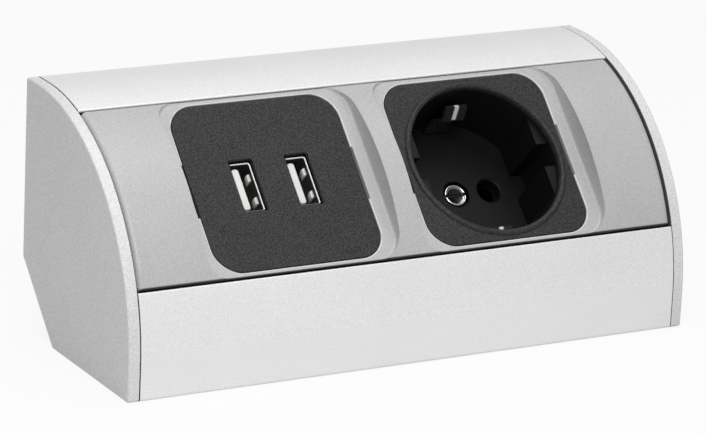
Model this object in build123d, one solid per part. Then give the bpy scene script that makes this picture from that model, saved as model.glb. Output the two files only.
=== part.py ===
from build123d import *
import math
import os

# A corner power unit for furniture: an aluminium profile with a quarter-round front, two end caps
# and a curved plastic cover that carries two square modules, a USB charger and an earthed socket.
# All sizes are millimetres. X runs along the unit, Y from its front to its back, and Z is up.
# The origin is the centre of the unit's footprint, on the surface that it stands on.

# Cross section of the housing
front_radius = 54.0        # outer radius of the quarter-round front
front_foot = 9.0           # upright height below the quarter round
top_flat = 6.0             # level strip behind the quarter round
back_bevel = 18.0          # bevel of the lower back corner, the same along the base and up the back
outline_round = 0.8        # rounding of the outer corners of the section
profile_wall = 2.0         # wall of the extruded profile
face_tilt = 45.0           # angle in degrees that the module faces lean back from upright
cut_past = 1.0             # how far a cut runs on past the face that it opens

# End caps
cap_thickness = 3.0
cap_edge_round = 0.5
cap_seam_bevel = 0.2       # bevel where a cap meets the profile
peg_radius = 1.9
peg_length = 9.0
peg_tip = 0.6
cap_rib_length = 16.0
cap_rib_height = 3.0
cap_rib_wall = 1.4
cap_rib_clearance = 0.2

# Square modules and their seat in the cover
plate_size = 45.0
plate_corner = 7.0
plate_flange = 1.6         # thickness of the plate's rim, which lies in the cover's rebate
plate_round = 0.35         # rounded front edge of a plate
plate_clearance = 0.15
ledge_width = 1.35         # seat below the plate's rim
ledge_corner = 5.6
body_clearance = 0.2
notch_length = 14.3        # release notches at both sides of each module
notch_depth = 0.45
skirt_level = 8.0          # depth of the joint between a module's face and its rear body
latch_length = 10.0
latch_reach = 0.7
latch_height = 1.6
latch_clearance = 0.1

# Curved front cover
plate_margin = 1.2         # cover left above and below a plate
cover_gap = 0.35           # seam between the cover and the profile
cover_end_gap = 0.3        # seam between the cover and an end cap
cover_wall = 2.2
cover_floor = 3.0          # thickness of the flat floor round a plate
cover_end = 18.1           # curved stretch between a dish and the cover's end
cover_corner = 1.5
cover_edge_round = 0.3     # rounded long edges beside the profile
rebate_round = 0.25        # rounded edge of a plate's rebate
dish_band = 3.6            # flat band beside a plate
dish_corner = 7.0
dish_wall = 1.8
dish_round = 0.7
bridge_width = 5.8         # curved bridge between the two dishes
skirt_wall = 1.4
skirt_depth = 6.4
bead_length = 1.4
bead_clearance = 0.2
bead_flat = 0.2

# Seats for the cover and screw channels in the profile
seat_depth = 7.0
seat_wall = 1.5
lip_round = 0.4            # rounded edges of the profile beside the cover
groove_depth = 0.5
groove_length = 1.8
channel_bore = 2.0         # bore radius of the channels that take the cap pegs
channel_wall = 1.3
channel_slot = 1.8
channel_set_in = 2.2       # distance of a channel's centre from the inner wall faces

# Openings and screws of the profile
mount_hole_radius = 2.25
mount_hole_inset = 13.5    # distance from the profile's end
back_hole_height = 40.0
base_hole_depth = 25.0     # distance of the base holes from the front
grommet_hole_radius = 5.0
grommet_place = -1.0       # place of the cable entry along the bevel
grommet_bore = 3.6
grommet_flange = 1.5
grommet_lip = 1.6
grommet_clearance = 0.1
grommet_nose = 2.0
grommet_lip_bevel = 0.5
grommet_nose_wall = 1.2

# Socket module
recess_rim = 2.6           # face left between the recess and the plate's edge
recess_depth = 18.5
recess_wall = 1.1
recess_floor = 3.0
lip_width = 1.6
lip_height = 0.7
guide_rib = 3.3            # how far the guide ribs stand into the recess at its side
guide_top = 2.0            # depth of the guide ribs' tops below the plate
guide_slot = 6.4
pin_pitch = 19.0
pin_hole_radius = 3.1
pin_hole_edge = 0.4
centre_hole_radius = 1.8
counterbore_radius = 3.65
counterbore_depth = 2.0
back_gap = 3.9             # room between the socket's back and the bevelled wall
wall_gap = 2.8             # room between a module's back corners and the housing walls
channel_gap = 0.5          # room between a module's back and the peg channels
base_corner = 4.0
contact_bore = 2.4
contact_wall = 0.6
contact_slit = 1.0
contact_clearance = 0.3
contact_inset = 3.0        # solid base left behind a contact
terminal_width = 6.0
terminal_length = 7.5
terminal_height = 6.4
arm_depth = 3.4            # height of the arm between a sleeve and its terminal
arm_width = 3.6
terminal_place = 14.0      # distance of the live and neutral terminals from the pin centre line
terminal_rise = 7.5        # distance of those terminals from the line of the pins
earth_terminal_place = 12.5
clamp_grip = 1.0           # thread left above a clamped wire
strap_thickness = 0.8
earth_width = 6.0
earth_foot_gap = 2.0       # distance of the earth clip from the recess wall at its foot
earth_hump_gap = 4.2
earth_tip_gap = 2.6
earth_bend_rise = 4.5      # from the hump down to where the clip stands upright
earth_bend_lean = 0.3
earth_hump_level = 8.2
earth_tip_level = 4.4

# Charger module
charger_wall = 1.6
charger_face_wall = 2.2
supply_clearance = 0.5     # room between the supply parts and the charger's back
usb_spacing = 15.0
usb_opening_width = 6.3
usb_opening_height = 14.0
usb_opening_corner = 0.5
usb_opening_round = 0.3    # rounded front edge of a port's opening
usb_shell_width = 5.7
usb_shell_height = 13.2
usb_shell_wall = 0.35
usb_shell_set_back = 0.5
tongue_thickness = 1.84
tongue_height = 11.1
tongue_offset = 1.2        # distance of the tongue's middle from the middle of its shell
tongue_set_back = 1.2
tongue_base = 4.5
tongue_corner = 0.4
tongue_play = 0.05
tongue_round = 0.3
spring_spacing = 6.2
spring_width = 1.9
spring_rise = 0.75
spring_start = 1.2         # from the shell's front edge to the spring's root
spring_crest = 1.4         # run from that root to the crest
spring_flat = 0.6
spring_run = 4.0           # run from the crest back to the wall
contact_strip_width = 1.1
contact_strip_thickness = 0.2
contact_strip_places = ((-3.5, 1.6), (-1.0, 2.6), (1.0, 2.6), (3.5, 1.6))   # rise, set back
board_level = 15.0
board_thickness = 1.6
board_clearance = 0.4
board_ledge = 1.7
part_gap = 0.6             # room between neighbouring parts on the board
transformer_rise = 8.0
core_width = 16.0
core_depth = 6.0
core_leg = 4.4
core_side = 2.2
winding_play = 0.15
winding_height = 12.4
winding_corner = 1.5
input_can_radius = 4.5
input_can_length = 13.0
input_can_rise = -10.5
input_can_bevel = 0.6
output_can_radius = 3.2
output_can_length = 8.8
output_can_rise = -10.0
output_can_bevel = 0.5
chip_size = 6.0
chip_height = 1.6
chip_rise = 0.5
block_width = 7.0
block_length = 22.0

# Screws and wires
screw_radius = 1.35
thread_play = 0.05
screw_head_radius = 2.1
screw_head_height = 1.6
screw_slot_width = 0.7
screw_slot_depth = 0.7
screw_edge = 0.3           # bevel round a screw head
centre_head_radius = 3.0
centre_head_height = 1.7
wire_radius = 1.25
conductor_radius = 0.85
wire_clearance = 0.25
wire_bow = 4.0             # slack of the link wires between the modules
wire_bend = 5.5            # bend radius of a wire where its runs leave room for it
bend_share = 0.45          # share of the shorter run that a bend may take
strip_play = 0.3           # from a bare wire's end to the far side of its clamp
earth_strip_play = 0.8
earth_screw_radius = 1.95
earth_screw_head = 3.6
earth_screw_head_height = 2.2
tag_radius = 4.2
tag_thickness = 0.8
tag_barrel_radius = 1.7
tag_barrel_length = 6.0
tag_neck = 1.0
crimp_play = 0.1

# Sizes that follow
overall_depth = front_radius + top_flat
overall_height = front_foot + front_radius
opening_half = plate_size / 2 + plate_clearance + plate_margin + cover_gap
dish_half = plate_size / 2 + dish_band
module_pitch = 2 * dish_half + bridge_width
cover_half = module_pitch / 2 + dish_half + cover_end
profile_half = cover_half + cover_end_gap
chord_level = math.sqrt(front_radius ** 2 - opening_half ** 2)
crown = front_radius - chord_level
ledge_half = plate_size / 2 + plate_clearance - ledge_width
body_half = ledge_half - body_clearance
recess_radius = plate_size / 2 - recess_rim
lip_radius = recess_radius + lip_width
guide_chord = recess_radius - guide_rib
earth_foot = recess_radius - earth_foot_gap
earth_hump = recess_radius - earth_hump_gap
earth_tip = recess_radius - earth_tip_gap
tilt = math.radians(face_tilt)
face_out = Vector(0, -math.cos(tilt), math.sin(tilt))
face_up = Vector(0, math.sin(tilt), math.cos(tilt))
arc_centre = Vector(0, front_radius - overall_depth / 2, front_foot)
face_middle = arc_centre + face_out * chord_level
outward = Axis(face_middle, face_out)
charger_x = -module_pitch / 2
socket_x = module_pitch / 2


def depth_to(point):
    """Depth of a point behind the plane of the module faces."""
    return (face_middle - Vector(point)).dot(face_out)


def rise_at(height, depth):
    """Rise up the slope of a place at this height above the base and depth behind the faces."""
    return (height - face_middle.Z) / math.cos(tilt) + depth * math.tan(tilt)


# Depths behind the module faces
bevel_depth = depth_to((0, overall_depth / 2, back_bevel))
room_depth = bevel_depth - profile_wall
floor_back = recess_depth + recess_floor
contact_front = floor_back + contact_clearance
link_level = contact_front + terminal_height / 2
terminal_back = link_level + terminal_height / 2
reach_front = floor_back + strap_thickness + 2 * contact_clearance
strap_level = floor_back + strap_thickness / 2
socket_back = room_depth - back_gap
contact_back = socket_back - contact_inset
board_back = board_level + board_thickness
block_back = link_level + conductor_radius + clamp_grip + screw_head_height
charger_inner_back = block_back + supply_clearance
charger_back = charger_inner_back + charger_wall
core_height = charger_inner_back - supply_clearance - board_back

# How far a module's back corners reach: rise and depth together, which is square to a wall
corner_depth = room_depth - channel_set_in
corner_rise = rise_at(profile_wall + channel_set_in, corner_depth)
back_reach = (overall_depth / 2 - profile_wall - wall_gap - face_middle.Y) / math.sin(tilt)
base_reach = (face_middle.Z - profile_wall - wall_gap) / math.cos(tilt)
channel_reach = corner_depth - corner_rise
channel_reach -= (channel_bore + channel_wall + channel_gap) / math.sin(tilt)
module_reach = min(back_reach, base_reach, channel_reach)

# Places across the modules
pin_x = pin_pitch / 2
contact_radius = contact_bore + contact_wall
supply_half = body_half - charger_wall - board_ledge
block_x = charger_x + supply_half - contact_clearance - block_width / 2
transformer_x = charger_x - supply_half + part_gap + core_width / 2
input_can_x = charger_x - supply_half + part_gap + input_can_length / 2
output_can_x = block_x - block_width / 2 - part_gap - output_can_radius
chip_x = block_x - block_width / 2 - part_gap - chip_size / 2
winding_width = core_width - 2 * (core_side + winding_play)

# Place of the earth tag, in line with the socket's earth terminal
tag_level = profile_wall + tag_barrel_radius
wire_foot = rise_at(tag_level, link_level)
tag_y = face_middle.Y + wire_foot * math.sin(tilt) + link_level * math.cos(tilt)
tag_barrel_start = tag_radius + tag_neck


def module_plane(centre_x, depth=0.0):
    """Plane parallel to the module faces, this deep behind them; its Y runs up the slope."""
    origin = Vector(centre_x, face_middle.Y, face_middle.Z) - face_out * depth
    return Plane(origin=origin, x_dir=(1, 0, 0), z_dir=face_out)


def side_plane(centre_x):
    """Upright plane across the unit; its X runs up the slope and its Y out of the module face."""
    origin = Vector(centre_x, face_middle.Y, face_middle.Z)
    return Plane(origin=origin, x_dir=face_up, z_dir=(1, 0, 0))


def up_plane(centre_x, rise, depth):
    """Plane across the slope at this height; its Y runs into the module and its Z up the slope."""
    origin = Vector(centre_x, face_middle.Y, face_middle.Z) - face_out * depth + face_up * rise
    return Plane(origin=origin, x_dir=(1, 0, 0), z_dir=face_up)


def section_plane(x):
    """Upright plane across the unit; its X is the distance from the front and its Y the height."""
    return Plane(origin=(x, -overall_depth / 2, 0), x_dir=(0, 1, 0), z_dir=(1, 0, 0))


def slab(shape, centre_x, front, back):
    """A flat shape drawn on the module face, filled from one depth behind it to another."""
    return extrude(module_plane(centre_x, back) * shape, amount=back - front)


def across(shape, centre_x, width):
    """A shape drawn across the unit, filled to both sides of a place along it."""
    return extrude(side_plane(centre_x) * shape, amount=width / 2, both=True)


def along(shape, low, high):
    """A shape of the unit's section, filled between two places along it."""
    return extrude(section_plane(low) * shape, amount=high - low)


def rod(radius, centre_x, rise, front, back):
    """A round rod that stands square to the module faces."""
    return slab(Pos(0, rise) * Circle(radius), centre_x, front, back)


def sideways_rod(radius, low, high, rise, depth):
    """A round rod along X between two places."""
    shape = Pos(rise, -depth) * Circle(radius)
    start = side_plane(low)
    return extrude(start * shape, amount=high - low)


def upslope_rod(radius, centre_x, low, high, depth):
    """A round rod that runs up the slope between two heights."""
    return extrude(up_plane(centre_x, low, depth) * Circle(radius), amount=high - low)


def in_section(rise, depth):
    """Section place, distance from the front and height, of a place in the modules' frame."""
    point = face_middle + face_up * rise - face_out * depth
    return (point.Y + overall_depth / 2, point.Z)


def section_patch(low, high, front, back):
    """Section rectangle that is square to the module faces."""
    places = [(low, front), (high, front), (high, back), (low, back)]
    return make_face(Polyline(*[in_section(*place) for place in places], close=True))


def housing_outline():
    """Section outline: foot, quarter round, top, back, bevelled corner and base."""
    eighth = math.pi / 4
    bulge = (front_radius * (1 - math.cos(eighth)), front_foot + front_radius * math.sin(eighth))
    arc = ThreePointArc((0, front_foot), bulge, (front_radius, overall_height))
    corners = [
        (overall_depth, overall_height),
        (overall_depth, back_bevel),
        (overall_depth - back_bevel, 0),
        (0, 0),
    ]
    rest = Polyline((front_radius, overall_height), *corners, (0, front_foot))
    outline = make_face(arc + rest)
    sharp = [vertex for vertex in outline.vertices() if is_one_of(vertex, corners)]
    return fillet(sharp, outline_round)


def is_one_of(vertex, places):
    """True for a vertex that lies on one of these section places."""
    return any(abs(vertex.X - x) + abs(vertex.Y - y) < 0.01 for x, y in places)


def channel_centres():
    """Section places of the three peg channels: upper back, front foot and foot of the bevel."""
    set_in = profile_wall + channel_set_in
    upper_back = (overall_depth - set_in, overall_height - set_in)
    return [upper_back, (set_in, set_in), in_section(corner_rise, corner_depth)]


def housing_profile():
    """The extrusion, with seats for the cover, peg channels, screw holes and the cable entry."""
    outline = housing_outline()
    section = outline - offset(outline, amount=-profile_wall, kind=Kind.INTERSECTION)
    section -= section_patch(-opening_half, opening_half, -crown, seat_depth)
    for side in (-1, 1):
        inner = side * opening_half
        outer = side * (opening_half + seat_wall)
        section += section_patch(min(inner, outer), max(inner, outer), -crown, seat_depth) & outline
        groove = side * (opening_half + groove_depth)
        groove_front = skirt_depth - bead_length - (groove_length - bead_length) / 2
        groove_patch = section_patch(min(inner, groove), max(inner, groove), groove_front,
                                     groove_front + groove_length)
        section -= groove_patch
    lips = [in_section(-opening_half, 0), in_section(opening_half, 0)]
    section = fillet([vertex for vertex in section.vertices() if is_one_of(vertex, lips)], lip_round)
    centre = Vector(*in_section(0, room_depth / 2))
    for place in channel_centres():
        toward = centre - Vector(*place)
        heading = math.degrees(math.atan2(toward.Y, toward.X))
        slot = Pos(*place) * Rot(0, 0, heading) * Rectangle(
            2 * channel_bore + channel_wall, channel_slot, align=(Align.MIN, Align.CENTER))
        section += Pos(*place) * Circle(channel_bore + channel_wall)
        section -= Pos(*place) * Circle(channel_bore)
        section -= slot
    profile = along(section, -profile_half, profile_half)
    hole_x = profile_half - mount_hole_inset
    for side in (-1, 1):
        back_hole = Plane(origin=(side * hole_x, overall_depth / 2, back_hole_height), z_dir=(0, -1, 0))
        profile -= extrude(back_hole * Circle(mount_hole_radius), amount=2 * profile_wall)
        base_hole = Plane(origin=(side * hole_x, base_hole_depth - overall_depth / 2, 0))
        profile -= extrude(base_hole * Circle(mount_hole_radius), amount=2 * profile_wall)
    profile -= rod(grommet_hole_radius, 0, grommet_place, room_depth - cut_past,
                   bevel_depth + cut_past)
    earth_hole = Plane(origin=(0, tag_y, 0))
    profile -= extrude(earth_hole * Circle(earth_screw_radius + thread_play), amount=2 * profile_wall)
    return profile


def end_cap(side):
    """A moulded cap with pegs for the profile's channels and two locating ribs."""
    inner = side * profile_half
    outer = side * (profile_half + cap_thickness)
    cap = along(housing_outline(), min(inner, outer), max(inner, outer))
    outer_face = cap.faces().sort_by(Axis.X)[-1 if side > 0 else 0]
    cap = fillet(outer_face.edges(), cap_edge_round)
    seam_face = cap.faces().sort_by(Axis.X)[0 if side > 0 else -1]
    cap = chamfer(seam_face.edges(), cap_seam_bevel)
    for place in channel_centres():
        peg = Cylinder(peg_radius, peg_length, align=(Align.CENTER, Align.CENTER, Align.MIN))
        peg = chamfer(peg.faces().sort_by(Axis.Z)[-1].edges(), peg_tip)
        seat = Plane(origin=(inner, place[0] - overall_depth / 2, place[1]), z_dir=(-side, 0, 0))
        cap += seat * peg
    rib_low = profile_wall + cap_rib_clearance
    rib_middle = (overall_depth - back_bevel) / 2
    base_rib = Pos(rib_middle, rib_low + cap_rib_wall / 2) * Rectangle(cap_rib_length, cap_rib_wall)
    back_edge = overall_depth - profile_wall - cap_rib_clearance
    back_middle = (back_bevel + overall_height) / 2
    back_rib = Pos(back_edge - cap_rib_wall / 2, back_middle) * Rectangle(cap_rib_wall, cap_rib_length)
    rib_end = side * (profile_half - cap_rib_height)
    for rib in (base_rib, back_rib):
        cap += along(rib, min(inner, rib_end), max(inner, rib_end))
    return cap


def front_cover():
    """The curved cover: a shell with two flat-bottomed dishes, rebated windows and snap skirts."""
    edge = opening_half - cover_gap
    disc = Pos(*in_section(0, chord_level)) * Circle(front_radius)
    inner_disc = Pos(*in_section(0, chord_level)) * Circle(front_radius - cover_wall)
    skin = section_patch(-edge, edge, -crown, cover_floor) & disc
    rim_depth = chord_level - math.sqrt(front_radius ** 2 - edge ** 2)
    rims = [in_section(side * edge, rim_depth) for side in (-1, 1)]
    skin = fillet([vertex for vertex in skin.vertices() if is_one_of(vertex, rims)], cover_edge_round)
    hollow = section_patch(-edge + skirt_wall, edge - skirt_wall, -crown, cover_floor) & inner_disc
    cover = along(skin, -cover_half, cover_half)
    cover = fillet(cover.edges().filter_by(lambda e: is_cover_corner(e, edge)), cover_corner)
    cavity = along(hollow, -cover_half + skirt_wall, cover_half - skirt_wall)
    for centre_x in (charger_x, socket_x):
        cavity -= dish_block(centre_x, dish_wall)
    cover -= cavity
    for centre_x in (charger_x, socket_x):
        cover -= dish_block(centre_x, 0, floor=0, round_floor=True)
        rebate = RectangleRounded(plate_size + 2 * plate_clearance, plate_size + 2 * plate_clearance,
                                  plate_corner + plate_clearance)
        notch = Rectangle(plate_size + 2 * (plate_clearance + notch_depth), notch_length)
        cover -= slab(rebate + notch, centre_x, -cut_past, plate_flange)
        cover = fillet(opening_edges(cover, centre_x), rebate_round)
        window = RectangleRounded(2 * ledge_half, 2 * ledge_half, ledge_corner)
        cover -= slab(window, centre_x, -cut_past, cover_floor + cut_past)
    skirt_run = 2 * (cover_half - cover_corner)
    for side in (-1, 1):
        outer = side * edge
        inner = side * (edge - skirt_wall)
        tip = side * (opening_half + groove_depth - bead_clearance)
        middle = skirt_depth - bead_length / 2
        skirt = make_face(Polyline(
            (inner, -cover_floor),
            (inner, -skirt_depth),
            (outer, -skirt_depth),
            (tip, -middle - bead_flat),
            (tip, -middle + bead_flat),
            (outer, -middle + bead_length / 2),
            (outer, -cover_floor),
            close=True))
        cover += across(skirt, 0, skirt_run)
    return cover


def opening_edges(piece, centre_x):
    """Edges of the opening in the flat face of a module, or in the dish floor round it."""
    flat = [face for face in piece.faces().filter_by(GeomType.PLANE) if is_module_face(face, centre_x)]
    return flat[0].inner_wires().edges()


def is_module_face(face, centre_x):
    """True for a face that lies in the plane of the module faces, round this place along X."""
    box = face.bounding_box()
    level = (face_middle - face.center()).dot(face_out)
    return abs(level) < 0.01 and box.min.X < centre_x < box.max.X and len(face.inner_wires()) > 0


def is_cover_corner(edge, half):
    """True for the four short edges at the cover's corners."""
    middle = edge @ 0.5
    rise = (middle - face_middle).dot(face_up)
    at_end = abs(abs(middle.X) - cover_half) < 0.01
    return at_end and abs(abs(rise) - half) < 0.01


def dish_block(centre_x, grow, floor=cover_floor, round_floor=False):
    """A rounded block that reaches down to a dish floor, grown sideways by a wall thickness."""
    outline = RectangleRounded(2 * (dish_half + grow), 2 * (opening_half + grow), dish_corner + grow)
    block = slab(outline, centre_x, -2 * crown, floor)
    if round_floor:
        bottom = block.faces().sort_by(outward)[0]
        block = fillet(bottom.edges(), dish_round)
    return block


def module_shell(centre_x, face_wall):
    """Front of a module: a square plate with rounded corners, a skirt and two side latches."""
    plate = slab(RectangleRounded(plate_size, plate_size, plate_corner), centre_x, 0, plate_flange)
    plate = fillet(plate.faces().sort_by(outward)[-1].edges(), plate_round)
    body = RectangleRounded(2 * body_half, 2 * body_half, ledge_corner - body_clearance)
    shell = plate + slab(body, centre_x, 0, skirt_level)
    latch_front = cover_floor + latch_clearance
    for side in (-1, 1):
        root = side * body_half
        nose = side * (body_half + latch_reach)
        profile = make_face(Polyline(
            (root, -latch_front),
            (nose, -latch_front),
            (nose, -latch_front - latch_height / 3),
            (root, -latch_front - latch_height),
            close=True))
        flat = Plane(origin=module_plane(centre_x).origin, x_dir=(1, 0, 0), z_dir=-face_up)
        shell += extrude(flat * profile, amount=latch_length / 2, both=True)
    inside = RectangleRounded(2 * (body_half - charger_wall), 2 * (body_half - charger_wall),
                              ledge_corner - body_clearance - charger_wall)
    return shell - slab(inside, centre_x, face_wall, skirt_level)


def rear_block(centre_x, front, back, inset=0.0):
    """Rear body of a module, bevelled at its back corners to clear the housing, set in by a wall."""
    half = body_half - inset
    reach = module_reach - inset / math.sin(tilt)
    floor = back - inset
    shoulder = min(reach - half, floor - charger_wall)
    side = [(min(half, half + shoulder - front), -front), (half + shoulder - floor, -floor)]
    if shoulder > front:
        side.insert(1, (half, -shoulder))
    other_side = [(-rise, level) for rise, level in reversed(side)]
    section = make_face(Polyline(*side, *other_side, close=True))
    plan = RectangleRounded(2 * half, 2 * half, base_corner - inset)
    return across(section, centre_x, 2 * half) & slab(plan, centre_x, front, floor)


def usb_centres():
    """Places along X of the two charger ports, left then right."""
    return [charger_x - usb_spacing / 2, charger_x + usb_spacing / 2]


def charger_face():
    """Front moulding of the charger, with two upright USB openings."""
    face = module_shell(charger_x, charger_face_wall)
    opening = RectangleRounded(usb_opening_width, usb_opening_height, usb_opening_corner)
    for centre_x in usb_centres():
        face -= slab(opening, centre_x, -cut_past, charger_face_wall + cut_past)
    return fillet(opening_edges(face, charger_x), usb_opening_round)


def charger_housing():
    """Rear tub of the charger, with a ledge for the circuit board and two wire holes."""
    tub = rear_block(charger_x, skirt_level, charger_back)
    room = rear_block(charger_x, skirt_level, charger_back, charger_wall)
    ledge = Rectangle(2 * body_half, 2 * body_half) - Rectangle(2 * supply_half, 2 * supply_half)
    tub -= room - slab(ledge, charger_x, board_back, charger_back)
    side = charger_x + body_half
    for rise in (-terminal_rise, terminal_rise):
        tub -= sideways_rod(wire_radius + wire_clearance, side - 2 * charger_wall - board_ledge,
                            side + cut_past, rise, link_level)
    return tub


def usb_shell(centre_x):
    """Folded metal shell of a port, with two retention springs on its right wall."""
    outer = RectangleRounded(usb_shell_width, usb_shell_height, 2 * usb_shell_wall)
    inner = RectangleRounded(usb_shell_width - 2 * usb_shell_wall,
                             usb_shell_height - 2 * usb_shell_wall, usb_shell_wall)
    shell = slab(outer - inner, centre_x, usb_shell_set_back, board_level)
    wall = usb_shell_width / 2 - usb_shell_wall
    root = usb_shell_set_back + spring_start
    crest = root + spring_crest
    for side in (-1, 1):
        leaf = make_face(Polyline(
            (wall + usb_shell_wall / 2, -root),
            (wall - spring_rise, -crest),
            (wall - spring_rise, -crest - spring_flat),
            (wall + usb_shell_wall / 2, -crest - spring_flat - spring_run),
            close=True))
        origin = module_plane(centre_x).origin + face_up * (side * spring_spacing / 2)
        flat = Plane(origin=origin, x_dir=(1, 0, 0), z_dir=-face_up)
        shell += extrude(flat * leaf, amount=spring_width / 2, both=True)
    return shell


def usb_tongue(centre_x):
    """Moulded insulator of a port: a tongue on a block that fills the shell's back."""
    inset = 2 * (usb_shell_wall + tongue_play)
    base = RectangleRounded(usb_shell_width - inset, usb_shell_height - inset, usb_shell_wall)
    tongue = Pos(-tongue_offset, 0) * RectangleRounded(tongue_thickness, tongue_height, tongue_corner)
    body = slab(tongue, centre_x, tongue_set_back, board_level - tongue_base)
    body = fillet(body.faces().sort_by(outward)[-1].edges(), tongue_round)
    return body + slab(base, centre_x, board_level - tongue_base, board_level)


def usb_contacts(centre_x):
    """Four contact strips on the tongue; the outer two are longer."""
    x = -tongue_offset + tongue_thickness / 2 + contact_strip_thickness / 2
    strips = []
    for rise, start in contact_strip_places:
        strip = Pos(x, rise) * Rectangle(contact_strip_thickness, contact_strip_width)
        strips.append(slab(strip, centre_x, tongue_set_back + start, board_level - tongue_base))
    return Compound(children=strips)


def charger_circuit_board():
    """Square board that carries the ports in front and the supply parts behind."""
    size = 2 * (body_half - charger_wall - board_clearance)
    board = RectangleRounded(size, size, base_corner - charger_wall)
    return slab(board, charger_x, board_level, board_back)


def transformer_core():
    """Ferrite core: two E halves closed on each other, with a winding window each side."""
    frame = Pos(0, -board_back - core_height / 2) * Rectangle(core_width, core_height)
    window_width = (core_width - core_leg) / 2 - core_side
    window_height = core_height - 2 * core_side
    for side in (-1, 1):
        place = side * (core_leg + window_width) / 2
        frame -= Pos(place, -board_back - core_height / 2) * Rectangle(window_width, window_height)
    origin = module_plane(transformer_x).origin + face_up * transformer_rise
    flat = Plane(origin=origin, x_dir=(1, 0, 0), z_dir=-face_up)
    return extrude(flat * frame, amount=core_depth / 2, both=True)


def transformer_winding():
    """Taped winding round the middle leg of the core."""
    outer = RectangleRounded(winding_width, winding_height, winding_corner)
    inner = Rectangle(core_leg + 2 * winding_play, core_depth + 2 * winding_play)
    ring = Pos(transformer_x - charger_x, transformer_rise) * (outer - inner)
    front = board_back + core_side + winding_play
    back = board_back + core_height - core_side - winding_play
    return slab(ring, charger_x, front, back)


def input_capacitor():
    """Electrolytic can that lies on the board."""
    can = sideways_rod(input_can_radius, input_can_x - input_can_length / 2,
                       input_can_x + input_can_length / 2, input_can_rise, board_back + input_can_radius)
    ends = can.faces().filter_by(GeomType.PLANE)
    return chamfer(ends.edges(), input_can_bevel)


def output_capacitor():
    """Smaller can that stands on the board."""
    can = rod(output_can_radius, output_can_x, output_can_rise, board_back, board_back + output_can_length)
    return chamfer(can.faces().sort_by(outward)[0].edges(), output_can_bevel)


def controller_chip():
    """Flat package of the charge controller."""
    package = Pos(0, chip_rise) * Rectangle(chip_size, chip_size)
    return slab(package, chip_x, board_back, board_back + chip_height)


def charger_terminal_block():
    """Two-pole block on the board, with wire entries at its right side and screws at its back."""
    body = Pos(block_x - charger_x, 0) * Rectangle(block_width, block_length)
    block = slab(body, charger_x, board_back, block_back)
    for rise in (-terminal_rise, terminal_rise):
        block -= sideways_rod(conductor_radius + wire_clearance, block_x - block_width / 4,
                              block_x + block_width, rise, link_level)
        block -= rod(screw_head_radius + wire_clearance, block_x, rise,
                     block_back - screw_head_height, block_back + cut_past)
        block -= rod(screw_radius, block_x, rise, link_level, block_back)
    return block


def slotted_screw(shank, head, head_height, length):
    """Cheese-head screw with a straight slot; its head stands on Z = 0 and its shank points down."""
    screw = Cylinder(head, head_height, align=(Align.CENTER, Align.CENTER, Align.MIN))
    screw = chamfer(screw.faces().sort_by(Axis.Z)[-1].edges(), screw_edge)
    slot = Pos(0, 0, head_height) * Box(3 * head, screw_slot_width, 2 * screw_slot_depth)
    return screw - slot + Cylinder(shank, length, align=(Align.CENTER, Align.CENTER, Align.MAX))


def charger_terminal_screws():
    """The two clamp screws of the charger's terminal block."""
    screws = []
    screw = slotted_screw(screw_radius - thread_play, screw_head_radius, screw_head_height, clamp_grip)
    for rise in (-terminal_rise, terminal_rise):
        origin = module_plane(block_x, block_back - screw_head_height).origin + face_up * rise
        screws.append(Plane(origin=origin, x_dir=(1, 0, 0), z_dir=-face_out) * screw)
    return Compound(children=screws)


def socket_face():
    """Front moulding of the socket: round recess, lip, guide ribs, pin holes and clip slots."""
    face = module_shell(socket_x, plate_flange)
    tube = slab(Circle(recess_radius + recess_wall), socket_x, 0, floor_back)
    face += tube
    lip_profile = make_face(
        ThreePointArc((recess_radius, 0), ((recess_radius + lip_radius) / 2, lip_height), (lip_radius, 0))
        + Line((lip_radius, 0), (recess_radius, 0)))
    lip_frame = Plane(origin=module_plane(socket_x).origin, x_dir=(1, 0, 0), z_dir=-face_up)
    lip = revolve(lip_frame * lip_profile, Axis(module_plane(socket_x).origin, face_out), 360)
    face += lip
    face -= slab(Circle(recess_radius), socket_x, -2 * lip_height, recess_depth)
    for side in (-1, 1):
        segment = Pos(side * (guide_chord + recess_radius) / 2, 0) * Rectangle(
            recess_radius - guide_chord, 2 * recess_radius)
        segment = segment & Circle(recess_radius + recess_wall / 2)
        segment -= Rectangle(2 * lip_radius, guide_slot)
        face += slab(segment, socket_x, guide_top, recess_depth + recess_floor / 2)
    for side in (-1, 1):
        hole = rod(pin_hole_radius, socket_x + side * pin_x, 0, recess_depth - cut_past,
                   floor_back + cut_past)
        bevel_top = pin_hole_radius + pin_hole_edge
        edge = Cone(pin_hole_radius, bevel_top, pin_hole_edge,
                    align=(Align.CENTER, Align.CENTER, Align.MAX))
        seat = Plane(origin=module_plane(socket_x + side * pin_x, recess_depth).origin,
                     x_dir=(1, 0, 0), z_dir=face_out)
        face -= hole
        face -= seat * edge
        slot_middle = side * (earth_foot + strap_thickness / 4)
        slot = Pos(0, slot_middle) * Rectangle(earth_width + 2 * contact_clearance,
                                               strap_thickness + 3 * contact_clearance)
        face -= slab(slot, socket_x, recess_depth - cut_past, floor_back + cut_past)
    face -= rod(counterbore_radius, socket_x, 0, recess_depth - cut_past,
                recess_depth + counterbore_depth)
    face -= rod(centre_hole_radius, socket_x, 0, recess_depth, floor_back + cut_past)
    return face


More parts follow.
